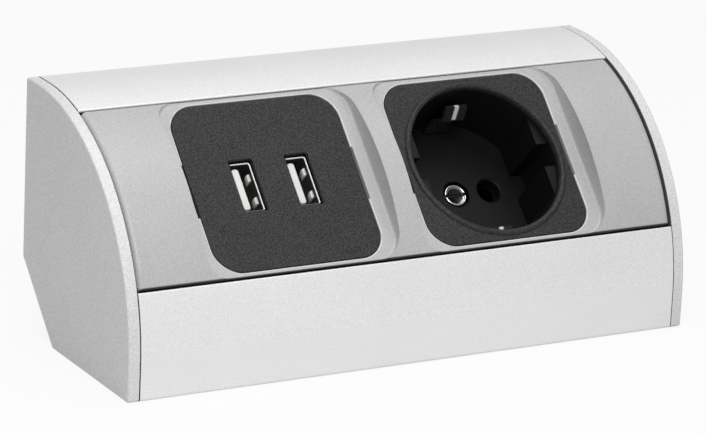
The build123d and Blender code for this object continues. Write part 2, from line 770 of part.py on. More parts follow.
def earth_clip():
    """One bent strap: it crosses behind the recess floor and stands up as a clip at each end."""
    half = [
        (earth_foot, -strap_level),
        (earth_foot + earth_bend_lean, -(earth_hump_level + earth_bend_rise)),
        (earth_hump, -earth_hump_level),
        (earth_tip, -earth_tip_level),
    ]
    other_half = [(-rise, level) for rise, level in reversed(half)]
    strap = across(trace(Polyline(*other_half, *half), strap_thickness), socket_x, earth_width)
    strap -= rod(centre_hole_radius, socket_x, 0, floor_back - cut_past,
                 floor_back + 2 * strap_thickness)
    block = Pos(0, -earth_terminal_place) * Rectangle(terminal_width, terminal_length)
    strap += slab(block, socket_x, strap_level, terminal_back)
    wire_low = -earth_terminal_place - terminal_length / 2 - cut_past
    strap -= upslope_rod(conductor_radius + wire_clearance, socket_x, wire_low,
                         -earth_terminal_place, link_level)
    strap -= sideways_rod(screw_radius, socket_x, socket_x + terminal_width,
                          -earth_terminal_place, link_level)
    return strap


def pin_contact(side, rise_side):
    """Brass contact: a slit sleeve for the pin, an arm and a terminal at the charger's side."""
    x = socket_x + side * pin_x
    sleeve = rod(contact_radius, x, 0, contact_front, contact_back)
    terminal_x = socket_x - terminal_place
    rise = rise_side * terminal_rise
    arm_top = rise_side * (terminal_rise + contact_wall / 2)
    arm_shape = Pos(x - socket_x, arm_top / 2) * Rectangle(arm_width, abs(arm_top))
    arm_back = contact_front + arm_depth
    arm = slab(arm_shape, socket_x, contact_front, arm_back)
    reach_low = min(terminal_x, x) - socket_x
    reach_high = max(terminal_x, x) - socket_x
    reach = Pos((reach_low + reach_high) / 2, rise) * Rectangle(reach_high - reach_low, 2 * contact_wall)
    block = Pos(terminal_x - socket_x, rise) * Rectangle(terminal_width, terminal_length)
    contact = sleeve + arm + slab(reach, socket_x, reach_front, arm_back)
    contact += slab(block, socket_x, contact_front, terminal_back)
    contact -= rod(contact_bore, x, 0, contact_front - cut_past, contact_back + cut_past)
    slit = Pos(x - socket_x, -rise_side * contact_radius) * Rectangle(contact_slit, 2 * contact_radius)
    contact -= slab(slit, socket_x, contact_front - cut_past, contact_back + cut_past)
    contact -= sideways_rod(conductor_radius + wire_clearance, terminal_x - terminal_width, terminal_x,
                            rise, link_level)
    screw_low = min(rise, rise + rise_side * terminal_length)
    screw_high = max(rise, rise + rise_side * terminal_length)
    contact -= upslope_rod(screw_radius, terminal_x, screw_low, screw_high, link_level)
    return contact


def socket_base():
    """Rear body of the socket, with chambers for the contacts, the earth strap and the wires."""
    base = rear_block(socket_x, floor_back, socket_back)
    play = contact_clearance
    pocket_back = terminal_back + play
    terminal_x = socket_x - terminal_place
    side = socket_x - body_half
    block_shape = Rectangle(terminal_width + 2 * play, terminal_length + 2 * play)
    for pin_side, rise_side in ((-1, 1), (1, -1)):
        x = pin_side * pin_x
        rise = rise_side * terminal_rise
        base -= rod(contact_radius + play, socket_x + x, 0, floor_back, contact_back + play)
        base -= slab(Pos(-terminal_place, rise) * block_shape, socket_x, floor_back, pocket_back)
        arm_back = contact_front + arm_depth + play
        arm = Pos(x, rise / 2) * Rectangle(arm_width + 2 * play, abs(rise) + 2 * play)
        low = min(-terminal_place, x)
        high = max(-terminal_place, x)
        reach = Pos((low + high) / 2, rise) * Rectangle(high - low, 2 * (contact_wall + play))
        base -= slab(arm, socket_x, floor_back, arm_back)
        base -= slab(reach, socket_x, floor_back, arm_back)
        base -= sideways_rod(wire_radius + wire_clearance, side - cut_past, terminal_x, rise, link_level)
        outside = rise_side * (body_half + cut_past)
        base -= upslope_rod(screw_head_radius + wire_clearance, terminal_x, min(rise, outside),
                            max(rise, outside), link_level)
    strap = Rectangle(earth_width + 2 * play, 2 * (earth_foot + strap_thickness))
    base -= slab(strap, socket_x, floor_back, floor_back + strap_thickness + play)
    base -= slab(Pos(0, -earth_terminal_place) * block_shape, socket_x, floor_back, pocket_back)
    base -= upslope_rod(wire_radius + wire_clearance, socket_x, -body_half - cut_past,
                        -earth_terminal_place, link_level)
    screw_end = socket_x + terminal_width / 2 + 2 * screw_head_height
    base -= sideways_rod(screw_head_radius + wire_clearance, socket_x, screw_end,
                         -earth_terminal_place, link_level)
    base -= rod(screw_radius, socket_x, 0, floor_back, contact_back)
    return base


def socket_centre_screw():
    """Screw at the middle of the recess that holds the socket's face to its base."""
    seat = module_plane(socket_x, recess_depth + counterbore_depth)
    length = contact_back - contact_inset - recess_depth - counterbore_depth
    screw = slotted_screw(screw_radius - thread_play, centre_head_radius, centre_head_height, length)
    return seat * screw


def socket_terminal_screws():
    """Clamp screws of the live, neutral and earth terminals."""
    screws = []
    terminal_x = socket_x - terminal_place
    length = terminal_length / 2 - conductor_radius
    shape = slotted_screw(screw_radius - thread_play, screw_head_radius, screw_head_height, length)
    for side in (-1, 1):
        rise = side * (terminal_rise + terminal_length / 2)
        origin = module_plane(terminal_x, link_level).origin + face_up * rise
        screws.append(Plane(origin=origin, x_dir=(1, 0, 0), z_dir=face_up * side) * shape)
    length = terminal_width / 2 - conductor_radius
    earth_x = socket_x + terminal_width / 2
    origin = module_plane(earth_x, link_level).origin - face_up * earth_terminal_place
    shape = slotted_screw(screw_radius - thread_play, screw_head_radius, screw_head_height, length)
    screws.append(Plane(origin=origin, x_dir=face_up, z_dir=(1, 0, 0)) * shape)
    return Compound(children=screws)


def insulated_wire(path, strip):
    """A round insulated wire along a path, with bare ends of the given length."""
    start = Plane(origin=path @ 0, z_dir=path % 0)
    end = Plane(origin=path @ 1, z_dir=path % 1)
    wire = sweep(start * Circle(wire_radius), path=path)
    wire += extrude(start * Circle(conductor_radius), amount=-strip)
    return wire + extrude(end * Circle(conductor_radius), amount=strip)


def bends(route):
    """Bend radius at each corner of a wire's route, from its runs and the turn between them."""
    radii = []
    for before, corner, after in zip(route, route[1:], route[2:]):
        turn = math.radians((corner - before).get_angle(after - corner))
        run = min((corner - before).length, (after - corner).length)
        radii.append(min(wire_bend, bend_share * run / math.tan(turn / 2)))
    return radii


def link_wire(rise):
    """Wire from the charger's terminal to the socket's, with a slack bow between the modules."""
    left = block_x + block_width / 2
    right = socket_x - terminal_place - terminal_width / 2
    left_wall = charger_x + body_half
    right_wall = socket_x - body_half
    middle = (left_wall + right_wall) / 2
    origin = module_plane(0).origin + face_up * rise
    flat = Plane(origin=origin, x_dir=(1, 0, 0), z_dir=-face_up)
    route = [
        Vector(left, -link_level),
        Vector(left_wall, -link_level),
        Vector(middle, -link_level - wire_bow),
        Vector(right_wall, -link_level),
        Vector(right, -link_level),
    ]
    path = flat * FilletPolyline(*route, radius=bends(route))
    return insulated_wire(path, terminal_width / 2 - strip_play)


def earth_link_wire():
    """Wire from the socket's earth terminal down to the tag on the housing's base."""
    low = -earth_terminal_place - terminal_length / 2
    start = module_plane(socket_x, link_level).origin + face_up * low
    corner = Vector(socket_x, tag_y, tag_level)
    end = Vector(tag_barrel_start + tag_barrel_length, tag_y, tag_level)
    path = FilletPolyline(start, corner, end, radius=bends([start, corner, end]))
    return insulated_wire(path, terminal_length / 2 - earth_strip_play)


def earth_tag():
    """Crimp tag: a ring under the earth screw and a barrel that grips the wire."""
    floor = Plane(origin=(0, tag_y, profile_wall))
    ring = extrude(floor * Circle(tag_radius), amount=tag_thickness)
    neck = Pos(tag_barrel_start / 2, 0) * Rectangle(tag_barrel_start + cut_past, 2 * tag_barrel_radius)
    ring += extrude(floor * neck, amount=tag_thickness)
    ring -= extrude(floor * Circle(earth_screw_radius + wire_clearance), amount=2 * tag_thickness)
    axis = Plane(origin=(tag_barrel_start, tag_y, tag_level), z_dir=(1, 0, 0))
    barrel = Circle(tag_barrel_radius) - Circle(conductor_radius + crimp_play)
    return ring + extrude(axis * barrel, amount=tag_barrel_length)


def earth_screw():
    """Screw that clamps the earth tag to the profile's base."""
    length = profile_wall + tag_thickness - thread_play
    screw = slotted_screw(earth_screw_radius, earth_screw_head, earth_screw_head_height, length)
    return Plane(origin=(0, tag_y, profile_wall + tag_thickness)) * screw


def cable_grommet():
    """Rubber grommet in the bevelled wall, where the supply lead would enter."""
    neck = grommet_hole_radius - grommet_clearance
    lip = grommet_hole_radius + grommet_lip
    inner = -room_depth
    outer = -bevel_depth
    profile = make_face(Polyline(
        (grommet_bore, inner + grommet_flange),
        (lip - grommet_lip_bevel, inner + grommet_flange),
        (lip, inner),
        (neck, inner),
        (neck, outer),
        (lip, outer),
        (lip, outer - grommet_flange / 2),
        (grommet_bore + grommet_nose_wall, outer - grommet_nose),
        (grommet_bore, outer - grommet_nose),
        close=True))
    origin = module_plane(0).origin + face_up * grommet_place
    flat = Plane(origin=origin, x_dir=(1, 0, 0), z_dir=-face_up)
    return revolve(flat * profile, Axis(origin, face_out), 360)


ports = usb_centres()
pieces = {
    "housing_profile": housing_profile(),
    "left_end_cap": end_cap(-1),
    "right_end_cap": end_cap(1),
    "front_cover": front_cover(),
    "charger_face": charger_face(),
    "charger_housing": charger_housing(),
    "usb_shell_left": usb_shell(ports[0]),
    "usb_shell_right": usb_shell(ports[1]),
    "usb_tongue_left": usb_tongue(ports[0]),
    "usb_tongue_right": usb_tongue(ports[1]),
    "usb_contacts_left": usb_contacts(ports[0]),
    "usb_contacts_right": usb_contacts(ports[1]),
    "charger_circuit_board": charger_circuit_board(),
    "transformer_core": transformer_core(),
    "transformer_winding": transformer_winding(),
    "input_capacitor": input_capacitor(),
    "output_capacitor": output_capacitor(),
    "controller_chip": controller_chip(),
    "charger_terminal_block": charger_terminal_block(),
    "charger_terminal_screws": charger_terminal_screws(),
    "socket_face": socket_face(),
    "socket_base": socket_base(),
    "earth_clip": earth_clip(),
    "live_contact": pin_contact(-1, 1),
    "neutral_contact": pin_contact(1, -1),
    "socket_centre_screw": socket_centre_screw(),
    "socket_terminal_screws": socket_terminal_screws(),
    "live_link_wire": link_wire(terminal_rise),
    "neutral_link_wire": link_wire(-terminal_rise),
    "earth_link_wire": earth_link_wire(),
    "earth_tag": earth_tag(),
    "earth_screw": earth_screw(),
    "cable_grommet": cable_grommet(),
}

os.makedirs("parts", exist_ok=True)
for name, piece in pieces.items():
    export_step(piece, "parts/" + name + ".step")
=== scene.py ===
"""Looks of the corner power unit: finishes, replaced surfaces, camera and light.

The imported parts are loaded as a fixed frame, in metres. Sizes in the classes below are
millimetres, as on the drawing of the unit, and become metres when a mesh is written.
"""
from __future__ import annotations

import logging
import math
from dataclasses import dataclass, field
from enum import Enum

import bmesh
import bpy
import numpy as np
from mathutils import Matrix, Vector


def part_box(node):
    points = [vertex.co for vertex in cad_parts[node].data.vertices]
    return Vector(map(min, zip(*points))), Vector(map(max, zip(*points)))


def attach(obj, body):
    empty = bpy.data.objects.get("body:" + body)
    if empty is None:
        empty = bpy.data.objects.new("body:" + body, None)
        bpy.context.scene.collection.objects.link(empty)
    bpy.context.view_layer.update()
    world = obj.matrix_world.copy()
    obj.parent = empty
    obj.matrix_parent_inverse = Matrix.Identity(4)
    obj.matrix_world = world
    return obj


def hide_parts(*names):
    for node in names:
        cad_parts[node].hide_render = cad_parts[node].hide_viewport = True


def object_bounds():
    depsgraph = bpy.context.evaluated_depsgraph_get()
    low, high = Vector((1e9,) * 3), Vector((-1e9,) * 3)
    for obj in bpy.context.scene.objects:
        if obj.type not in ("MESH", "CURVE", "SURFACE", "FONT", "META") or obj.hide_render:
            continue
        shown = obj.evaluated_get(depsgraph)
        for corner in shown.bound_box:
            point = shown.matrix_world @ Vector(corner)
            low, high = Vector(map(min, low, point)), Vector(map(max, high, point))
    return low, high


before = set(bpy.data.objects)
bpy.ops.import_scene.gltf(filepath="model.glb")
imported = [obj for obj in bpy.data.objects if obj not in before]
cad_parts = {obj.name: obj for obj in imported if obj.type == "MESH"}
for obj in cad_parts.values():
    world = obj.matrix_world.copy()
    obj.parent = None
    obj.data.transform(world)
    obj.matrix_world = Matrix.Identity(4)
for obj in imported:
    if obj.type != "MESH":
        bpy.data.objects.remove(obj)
CAD_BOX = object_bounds()

LOG = logging.getLogger("power_unit")
MM = 0.001
TILT = math.sqrt(0.5)  # sine and cosine of the plates' slope of 45 degrees

Triple = tuple[float, float, float]  # a colour, a place or a factor along each axis
Span = tuple[float, float]  # two values between which something changes
Settings = dict[str, object]
Inputs = dict[str | int, object]
EVEN: Triple = (1.0, 1.0, 1.0)
WHITE: tuple[float, float, float, float] = (1.0, 1.0, 1.0, 1.0)
MIDDLE = 0.5  # of a noise or a tone, which run from 0 to 1
FINE_RANGE: Span = (0.36, 0.64)  # most of a fine noise lies between these
PATCH_RANGE: Span = (0.3, 0.7)  # most of a wide noise lies between these
NOISE_ROUGHNESS = 0.55  # how much of a noise's finer parts is left in it
PAINTED_LIGHT_ATTRIBUTE = "wear"  # attribute of a mesh: 1 where a highlight is painted, 0 where shade is painted


def middle_x(node: str) -> float:
    """Return how far right of the unit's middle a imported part's middle lies, in millimetres."""
    low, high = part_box(node)
    return round((low.x + high.x) / 2 / MM, 3)


def reach_x(node: str) -> float:
    """Return how far right of the unit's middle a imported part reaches, in millimetres."""
    return float(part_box(node)[1].x / MM)


# The plane of the plates

@dataclass(frozen=True)
class Slope:
    """The slanted plane in which both plates lie, halfway up the curved front.

    Attributes:
        middle_y: Distance of its middle from the unit's middle, to the back.
        middle_z: Height of its middle.
    """

    middle_y: float
    middle_z: float

    @classmethod
    def of_plates(cls, edge_round: float = 0.35) -> Slope:
        """Measure the plane from the charger's plate.

        The plate is square, so its half reaches back and up by its half width at 45
        degrees, less what its rounded edge takes off.

        Args:
            edge_round: Radius of the plate's rounded edge.

        Returns:
            The plane of the plates.
        """
        low, high = (np.array(corner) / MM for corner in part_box("charger_face"))
        reach = TILT * ((high[0] - low[0]) / 2 - (2 - 2 * TILT) * edge_round)
        return cls(float(low[1] + reach), float(high[2] - reach))

    def place(self, x: np.ndarray, rise: np.ndarray, depth: np.ndarray) -> np.ndarray:
        """Carry points from the plates' own directions into the frame.

        Args:
            x: Distance to the right.
            rise: Distance up along the plane.
            depth: Distance below the plane, into the unit.

        Returns:
            Points in metres, with the coordinates along the last axis.
        """
        x, rise, depth = np.broadcast_arrays(x, rise, depth)
        points = (x, self.middle_y + TILT * (rise + depth), self.middle_z + TILT * (rise - depth))
        return np.stack(points, axis=-1) * MM


SLOPE = Slope.of_plates()


# Shader building

class Channel:
    """One socket that varies over a surface, with the arithmetic of shader maths."""

    def __init__(self, nodes: Nodes, socket: bpy.types.NodeSocket) -> None:
        """Keep the node tree and the socket that this value comes from."""
        self.nodes = nodes
        self.socket = socket

    def _math(self, operation: str, first: Number, second: Number = 0.0) -> Channel:
        """Add one Math node and return its result."""
        made = self.nodes.node("ShaderNodeMath", {"operation": operation}, {0: first, 1: second})
        return Channel(self.nodes, made.outputs[0])

    def __add__(self, other: Number) -> Channel:
        """Return this value plus another."""
        return self._math("ADD", self, other)

    def __radd__(self, other: Number) -> Channel:
        """Return another value plus this one."""
        return self._math("ADD", other, self)

    def __sub__(self, other: Number) -> Channel:
        """Return this value less another."""
        return self._math("SUBTRACT", self, other)

    def __rsub__(self, other: Number) -> Channel:
        """Return another value less this one."""
        return self._math("SUBTRACT", other, self)

    def __mul__(self, other: Number) -> Channel:
        """Return this value times another."""
        return self._math("MULTIPLY", self, other)

    def __rmul__(self, other: Number) -> Channel:
        """Return another value times this one."""
        return self._math("MULTIPLY", other, self)

    def __pow__(self, power: Number) -> Channel:
        """Return this value to a power."""
        return self._math("POWER", self, power)

    def __abs__(self) -> Channel:
        """Return this value without its sign."""
        return self._math("ABSOLUTE", self)

    def at_least(self, floor: float) -> Channel:
        """Return this value where it is above a floor, and the floor elsewhere."""
        return self._math("MAXIMUM", self, floor)

    def above(self, edge: Number) -> Channel:
        """Return 1 where this value is above an edge and 0 elsewhere."""
        return self._math("GREATER_THAN", self, edge)

    def ramp(self, low: float, high: float, to_low: float = 0.0, to_high: float = 1.0) -> Channel:
        """Carry this value smoothly from one range to another and hold it at both ends.

        Args:
            low: The value that becomes to_low.
            high: The value that becomes to_high.
            to_low: Result at the low end.
            to_high: Result at the high end.

        Returns:
            The carried value.
        """
        made = self.nodes.node(
            "ShaderNodeMapRange",
            {"interpolation_type": "SMOOTHSTEP"},
            {"Value": self, "From Min": low, "From Max": high, "To Min": to_low, "To Max": to_high},
        )
        return Channel(self.nodes, made.outputs[0])

    def fall(self, span: Span) -> Channel:
        """Return 1 below a span of values, 0 above it and a smooth step between."""
        return self.ramp(*span, 1.0, 0.0)


Number = Channel | float


class Nodes:
    """A node tree under construction: of a material or of the world."""

    def __init__(self, tree: bpy.types.NodeTree) -> None:
        """Empty the tree and keep it."""
        self.tree = tree
        self.tree.nodes.clear()

    def node(self, kind: str, settings: Settings | None = None,
             inputs: Inputs | None = None) -> bpy.types.Node:
        """Add a node.

        Args:
            kind: Blender's name of the node type.
            settings: Attributes that are set first.
            inputs: Values or links of its sockets, by socket name or number.

        Returns:
            The new node.
        """
        made = self.tree.nodes.new(kind)
        for key, setting in (settings or {}).items():
            setattr(made, key, setting)
        for key, given in (inputs or {}).items():
            if isinstance(given, Channel):
                self.tree.links.new(given.socket, made.inputs[key])
            elif isinstance(given, bpy.types.NodeSocket):
                self.tree.links.new(given, made.inputs[key])
            else:
                made.inputs[key].default_value = given
        return made

    def channel(self, kind: str, output: str, settings: Settings | None = None) -> Channel:
        """Add a node that takes no input and return one of its outputs."""
        return Channel(self, self.node(kind, settings).outputs[output])


@dataclass(frozen=True)
class Noise:
    """A noise that a finish is made from.

    Attributes:
        grain: About the width of its grains.
        detail: How many finer layers it has.
        stretch: Factor along each axis; a small one draws the grains out.
    """

    grain: float
    detail: float = 2.0
    stretch: Triple = EVEN


class Paint(Nodes):
    """A material under construction."""

    def __init__(self, name: str) -> None:
        """Make an empty material.

        Args:
            name: Its name.
        """
        self.material = bpy.data.materials.new(name)
        self.material.use_nodes = True
        super().__init__(self.material.node_tree)

    def places(self, stretch: Triple = EVEN) -> bpy.types.NodeSocket:
        """Add the object coordinates.

        Args:
            stretch: Factor along each axis; a small one draws a pattern out.

        Returns:
            The coordinates' socket, in metres.
        """
        coordinates = self.node("ShaderNodeTexCoord")
        mapped = self.node("ShaderNodeMapping", {"vector_type": "POINT"},
                           {"Vector": coordinates.outputs["Object"], "Scale": stretch})
        return mapped.outputs["Vector"]

    def axis(self, name: str) -> Channel:
        """Return one object coordinate, in millimetres."""
        split = self.node("ShaderNodeSeparateXYZ", inputs={"Vector": self.places()})
        return Channel(self, split.outputs[name]) * (1 / MM)

    def depth(self) -> Channel:
        """Return how far the surface lies below the plane of the plates, in millimetres."""
        back = self.axis("Y") - SLOPE.middle_y
        return (back - (self.axis("Z") - SLOPE.middle_z)) * TILT

    def rise(self) -> Channel:
        """Return how far up the slope the surface lies from the plates' middle, in millimetres."""
        back = self.axis("Y") - SLOPE.middle_y
        return (back + (self.axis("Z") - SLOPE.middle_z)) * TILT

    def noise(self, noise: Noise) -> Channel:
        """Return the value of a noise, from 0 to 1."""
        made = self.node("ShaderNodeTexNoise", {"noise_dimensions": "3D"},
                         {"Vector": self.places(noise.stretch), "Scale": 1.0 / (noise.grain * MM),
                          "Detail": noise.detail, "Roughness": NOISE_ROUGHNESS})
        return Channel(self, made.outputs[0])

    def blend(self, factor: Number, first: Triple | bpy.types.NodeSocket,
              second: Triple | bpy.types.NodeSocket) -> bpy.types.NodeSocket:
        """Mix two colours, through the colour sockets of a Mix node, 6 and 7 in and 2 out.

        Args:
            factor: Share of the second colour, from 0 to 1.
            first: The first colour.
            second: The second colour.

        Returns:
            The mixed colour's socket.
        """
        ends = [(*end, 1.0) if isinstance(end, tuple) else end for end in (first, second)]
        made = self.node("ShaderNodeMix", {"data_type": "RGBA", "blend_type": "MIX"},
                         {0: factor, 6: ends[0], 7: ends[1]})
        return made.outputs[2]

    def bump(self, height: Channel, depth: float) -> bpy.types.NodeSocket:
        """Return the normal of a surface raised by a height times a depth in millimetres."""
        made = self.node("ShaderNodeBump", inputs={"Height": height, "Distance": depth * MM})
        return made.outputs["Normal"]

    def surface(self, inputs: Inputs) -> bpy.types.Material:
        """Finish the material with one Principled shader.

        Args:
            inputs: Values or links of the shader's sockets.

        Returns:
            The finished material.
        """
        shader = self.node("ShaderNodeBsdfPrincipled", inputs=inputs)
        self.node("ShaderNodeOutputMaterial", inputs={"Surface": shader.outputs[0]})
        return self.material


def scaled(colour: Triple, share: float) -> Triple:
    """Return a colour times a share, held below white."""
    return tuple(min(1.0, part * share) for part in colour)


# Finishes

@dataclass(frozen=True)
class FrontArc:
    """The circle that the unit's front follows, seen from the side.

    Attributes:
        radius: Its radius, to the outer face.
        skin: Depth below the outer face that still counts as the outside.
        above_centre: How far the room behind it starts above the circle's centre.
        clear_of_back: How far that room ends in front of the circle's centre.
    """

    radius: float = 54.0
    skin: float = 0.7
    above_centre: float = 0.5
    clear_of_back: float = 14.5

    def cover_edge(self) -> float:
        """Find the cover's long edges.

        The cover's lowest point lies on the circle, so its height over the centre follows
        from how far forward it stands.

        Returns:
            How far up and down the slope the edges lie from its middle.
        """
        forward = float((CAD_BOX[0].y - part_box("front_cover")[0].y) / MM) + self.radius
        upward = math.sqrt(self.radius ** 2 - forward ** 2)
        return TILT * (forward - upward)

    def inside(self, paint: Paint) -> Channel:
        """Tell the room behind the curved front from the outside.

        A place is in the room if it lies nearer to the circle's centre than the front's
        skin, above the centre and well in front of it.

        Args:
            paint: The material under construction.

        Returns:
            1 in the room and 0 outside.
        """
        low, high = (np.array(corner) / MM for corner in CAD_BOX)
        back = paint.axis("Y") - float(low[1] + self.radius)
        up = paint.axis("Z") - float(high[2] - self.radius)
        reach = (back * back + up * up) ** 0.5
        behind = 1.0 - reach.above(self.radius - self.skin)
        return behind * up.above(self.above_centre) * (0.0 - back).above(self.clear_of_back)


@dataclass(frozen=True)
class PlateEdge:
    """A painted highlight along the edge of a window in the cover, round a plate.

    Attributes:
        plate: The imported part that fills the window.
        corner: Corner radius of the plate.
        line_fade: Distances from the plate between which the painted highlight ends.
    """

    plate: str
    corner: float = 7.0
    line_fade: Span = (0.275, 0.55)

    def line(self, paint: Paint) -> Channel:
        """Draw the painted highlight.

        The distance to the plate is that to the inner square which its corner arcs are
        drawn about, less their radius.

        Args:
            paint: The material under construction.

        Returns:
            1 along the plate's outline and 0 away from it.
        """
        middle = middle_x(self.plate)
        straight = reach_x(self.plate) - middle - self.corner
        along = (abs(paint.axis("X") - middle) - straight).at_least(0.0)
        upward = (abs(paint.rise()) - straight).at_least(0.0)
        away = (along * along + upward * upward) ** 0.5 - self.corner
        return away.fall(self.line_fade)


class Hollow(Enum):
    """Where a finish gets painted shade, because little light gets there, or a painted highlight."""

    NOWHERE = "nowhere"
    BELOW_PLATES = "below the plates' faces"
    BEHIND_FRONT = "behind the curved front, and at the profile's ends"
    COVER_SEAMS = "along the cover's two long seams"
    CAP_SEAM = "on the inner faces of the end caps"
    # painted highlights and painted shade that the piece's own mesh holds
    PAINTED_IN_MESH = "where the piece's own wear attribute is 0"
    # a painted glint down the earth clip's middle, with painted shade beside and below it
    OFF_GLINT = "beside the earth clip's rubbed bead"


@dataclass(frozen=True)
class Shade:
    """How each hollow's painted shade fades in from the light, and where highlights are painted.

    Attributes:
        mouth: Depths below the plates between which painted shade fills their openings.
        sawn_end: How far before the profile's end the painted shade at its joint with the caps starts.
        low_seam: Width of the painted shade along the cover's lower edge.
        top_seam: Half the width of the painted shade along its upper edge.
        cap_gap: How far past the profile's end the caps' inner faces get painted shade.
        glint: Distances from the earth clip's middle between which its painted glint turns to painted shade.
        glint_end: Depths below the plates between which its painted glint turns to painted shade.
    """

    mouth: Span = (0.35, 1.6)
    sawn_end: float = 0.15
    low_seam: float = 0.38
    top_seam: float = 0.1
    cap_gap: float = 0.12
    bead: Span = (0.35, 0.8)
    glint_end: Span = (7.6, 8.1)

    def of(self, hollow: Hollow, paint: Paint) -> Channel | None:
        """Paint shade, or highlights, into a material's colour.

        Args:
            hollow: Where shade or highlights are painted.
            paint: The material under construction.

        Returns:
            0 where shade is painted and 1 elsewhere, or None where nothing is painted.
        """
        makers = {
            Hollow.BELOW_PLATES: self.below_plates,
            Hollow.BEHIND_FRONT: self.behind_front,
            Hollow.COVER_SEAMS: self.cover_seams,
            Hollow.CAP_SEAM: self.cap_seam,
            Hollow.PAINTED_IN_MESH: self.worn,
            Hollow.OFF_GLINT: self.off_bead,
        }
        return makers[hollow](paint) if hollow in makers else None

    def below_plates(self, paint: Paint) -> Channel:
        """Return 1 at the plates' faces and 0, for painted shade, deep in their openings."""
        return paint.depth().fall(self.mouth)

    def behind_front(self, paint: Paint) -> Channel:
        """Return 0, for painted shade, in the room behind the curved front and on the profile's sawn ends.
        """
        sawn = abs(paint.axis("X")).above(reach_x("housing_profile") - self.sawn_end)
        return (1.0 - FrontArc().inside(paint)) * (1.0 - sawn)

    def cover_seams(self, paint: Paint) -> Channel:
        """Paint shade on the cover towards its two long edges.

        Args:
            paint: The material under construction.

        Returns:
            0 along both edges and 1 between them.
        """
        edge = FrontArc().cover_edge()
        low = paint.rise().ramp(-edge, self.low_seam - edge)
        return low * paint.rise().fall((edge - self.top_seam, edge + self.top_seam))

    def cap_seam(self, paint: Paint) -> Channel:
        """Return 0, for painted shade, on the inner faces of the end caps and 1 on the rest of them."""
        return abs(paint.axis("X")).above(reach_x("housing_profile") + self.cap_gap)

    def worn(self, paint: Paint) -> Channel:
        """Return the painted light that the piece's own mesh holds: 1 for a highlight, 0 for shade."""
        return paint.channel("ShaderNodeAttribute", "Fac", {"attribute_name": PAINTED_LIGHT_ATTRIBUTE})

    def off_bead(self, paint: Paint) -> Channel:
        """Return 1 on the earth clip's painted glint and 0, for painted shade, beside and below it."""
        across = abs(paint.axis("X") - middle_x("earth_clip")).fall(self.bead)
        return across * paint.depth().fall(self.glint_end)


SHADE = Shade()


@dataclass(frozen=True)
class Finish:
    """What every finish has: its slot, its colour and where shade is painted into it.

    Attributes:
        slot: The record's name of the material.
        colour: Its base colour.
        roughness: Its mean roughness.
        hollow: Where shade, or a highlight, is painted into it.
        dark: Share of the colour that is left where shade is painted.
    """

    slot: str
    colour: Triple
    roughness: float = 0.5
    hollow: Hollow = Hollow.NOWHERE
    dark: float = 0.1

    def material(self) -> bpy.types.Material:
        """Make the finish as a material, in the way of its own kind."""
        raise NotImplementedError

    def toned(self, paint: Paint, tone: Channel, spread: float) -> bpy.types.NodeSocket:
        """Make the colour lighter and darker by a tone, and paint shade into the hollows.

        Args:
            paint: The material under construction.
            tone: A value from 0, darkest, to 1, lightest.
            spread: Share by which the colour differs at both ends of the tone.

        Returns:
            The colour's socket.
        """
        colour = paint.blend(tone, scaled(self.colour, 1 - spread), scaled(self.colour, 1 + spread))
        shade = SHADE.of(self.hollow, paint)
        if shade is None:
            return colour
        return paint.blend(shade, scaled(self.colour, self.dark), colour)


@dataclass(frozen=True)
class MouldedPlastic(Finish):
    """Plastic with a fine eroded grain from its mould.

    Attributes:
        grain: Width of one grain.
        speckle: Share by which single grains are lighter or darker.
        drift: Share by which wide patches are lighter or darker.
        grain_depth: Height of the grain.
        specular: Strength of its mirror part.
        patch: Width of a patch, in grains.
        patch_dull: Roughness between the dullest and the smoothest patch.
        grain_dull: Roughness between the dullest and the smoothest grain.
    """

    grain: float = 0.35
    speckle: float = 0.06
    drift: float = 0.02
    grain_depth: float = 0.02
    specular: float = 0.5
    patch: float = 60.0
    patch_dull: float = 0.1
    grain_dull: float = 0.08

    def material(self) -> bpy.types.Material:
        """Make the material: speckled colour, uneven roughness and a grain in the normal.

        Returns:
            The material.
        """
        paint = Paint(self.slot)
        grain = paint.noise(Noise(self.grain))
        broad = paint.noise(Noise(self.grain * self.patch))
        spread = self.speckle + self.drift
        fine = (grain.ramp(*FINE_RANGE) - MIDDLE) * (self.speckle / spread)
        wide = (broad.ramp(*PATCH_RANGE) - MIDDLE) * (self.drift / spread)
        dull = (broad - MIDDLE) * self.patch_dull + (grain - MIDDLE) * self.grain_dull
        return paint.surface({
            "Base Color": self.toned(paint, fine + wide + MIDDLE, spread),
            "Roughness": self.roughness + dull,
            "Specular IOR Level": self.specular,
            "Normal": paint.bump(grain, self.grain_depth),
        })


@dataclass(frozen=True)
class CoverPlastic(MouldedPlastic):
    """Moulded plastic of the cover, with a painted highlight along the edge of each window.

    Attributes:
        edges: The painted highlights along the windows' edges.
        edge_light: Share of the colour that the painted highlights have.
    """

    edges: tuple[PlateEdge, ...] = (PlateEdge("charger_face"), PlateEdge("socket_face"))
    edge_light: float = 1.5

    def toned(self, paint: Paint, tone: Channel, spread: float) -> bpy.types.NodeSocket:
        """Add a painted highlight along each window to the plastic's colour.

        Args:
            paint: The material under construction.
            tone: A value from 0, darkest, to 1, lightest.
            spread: Share by which the colour differs at both ends of the tone.

        Returns:
            The colour's socket.
        """
        colour = super().toned(paint, tone, spread)
        for edge in self.edges:
            colour = paint.blend(edge.line(paint), colour, scaled(self.colour, self.edge_light))
        return colour


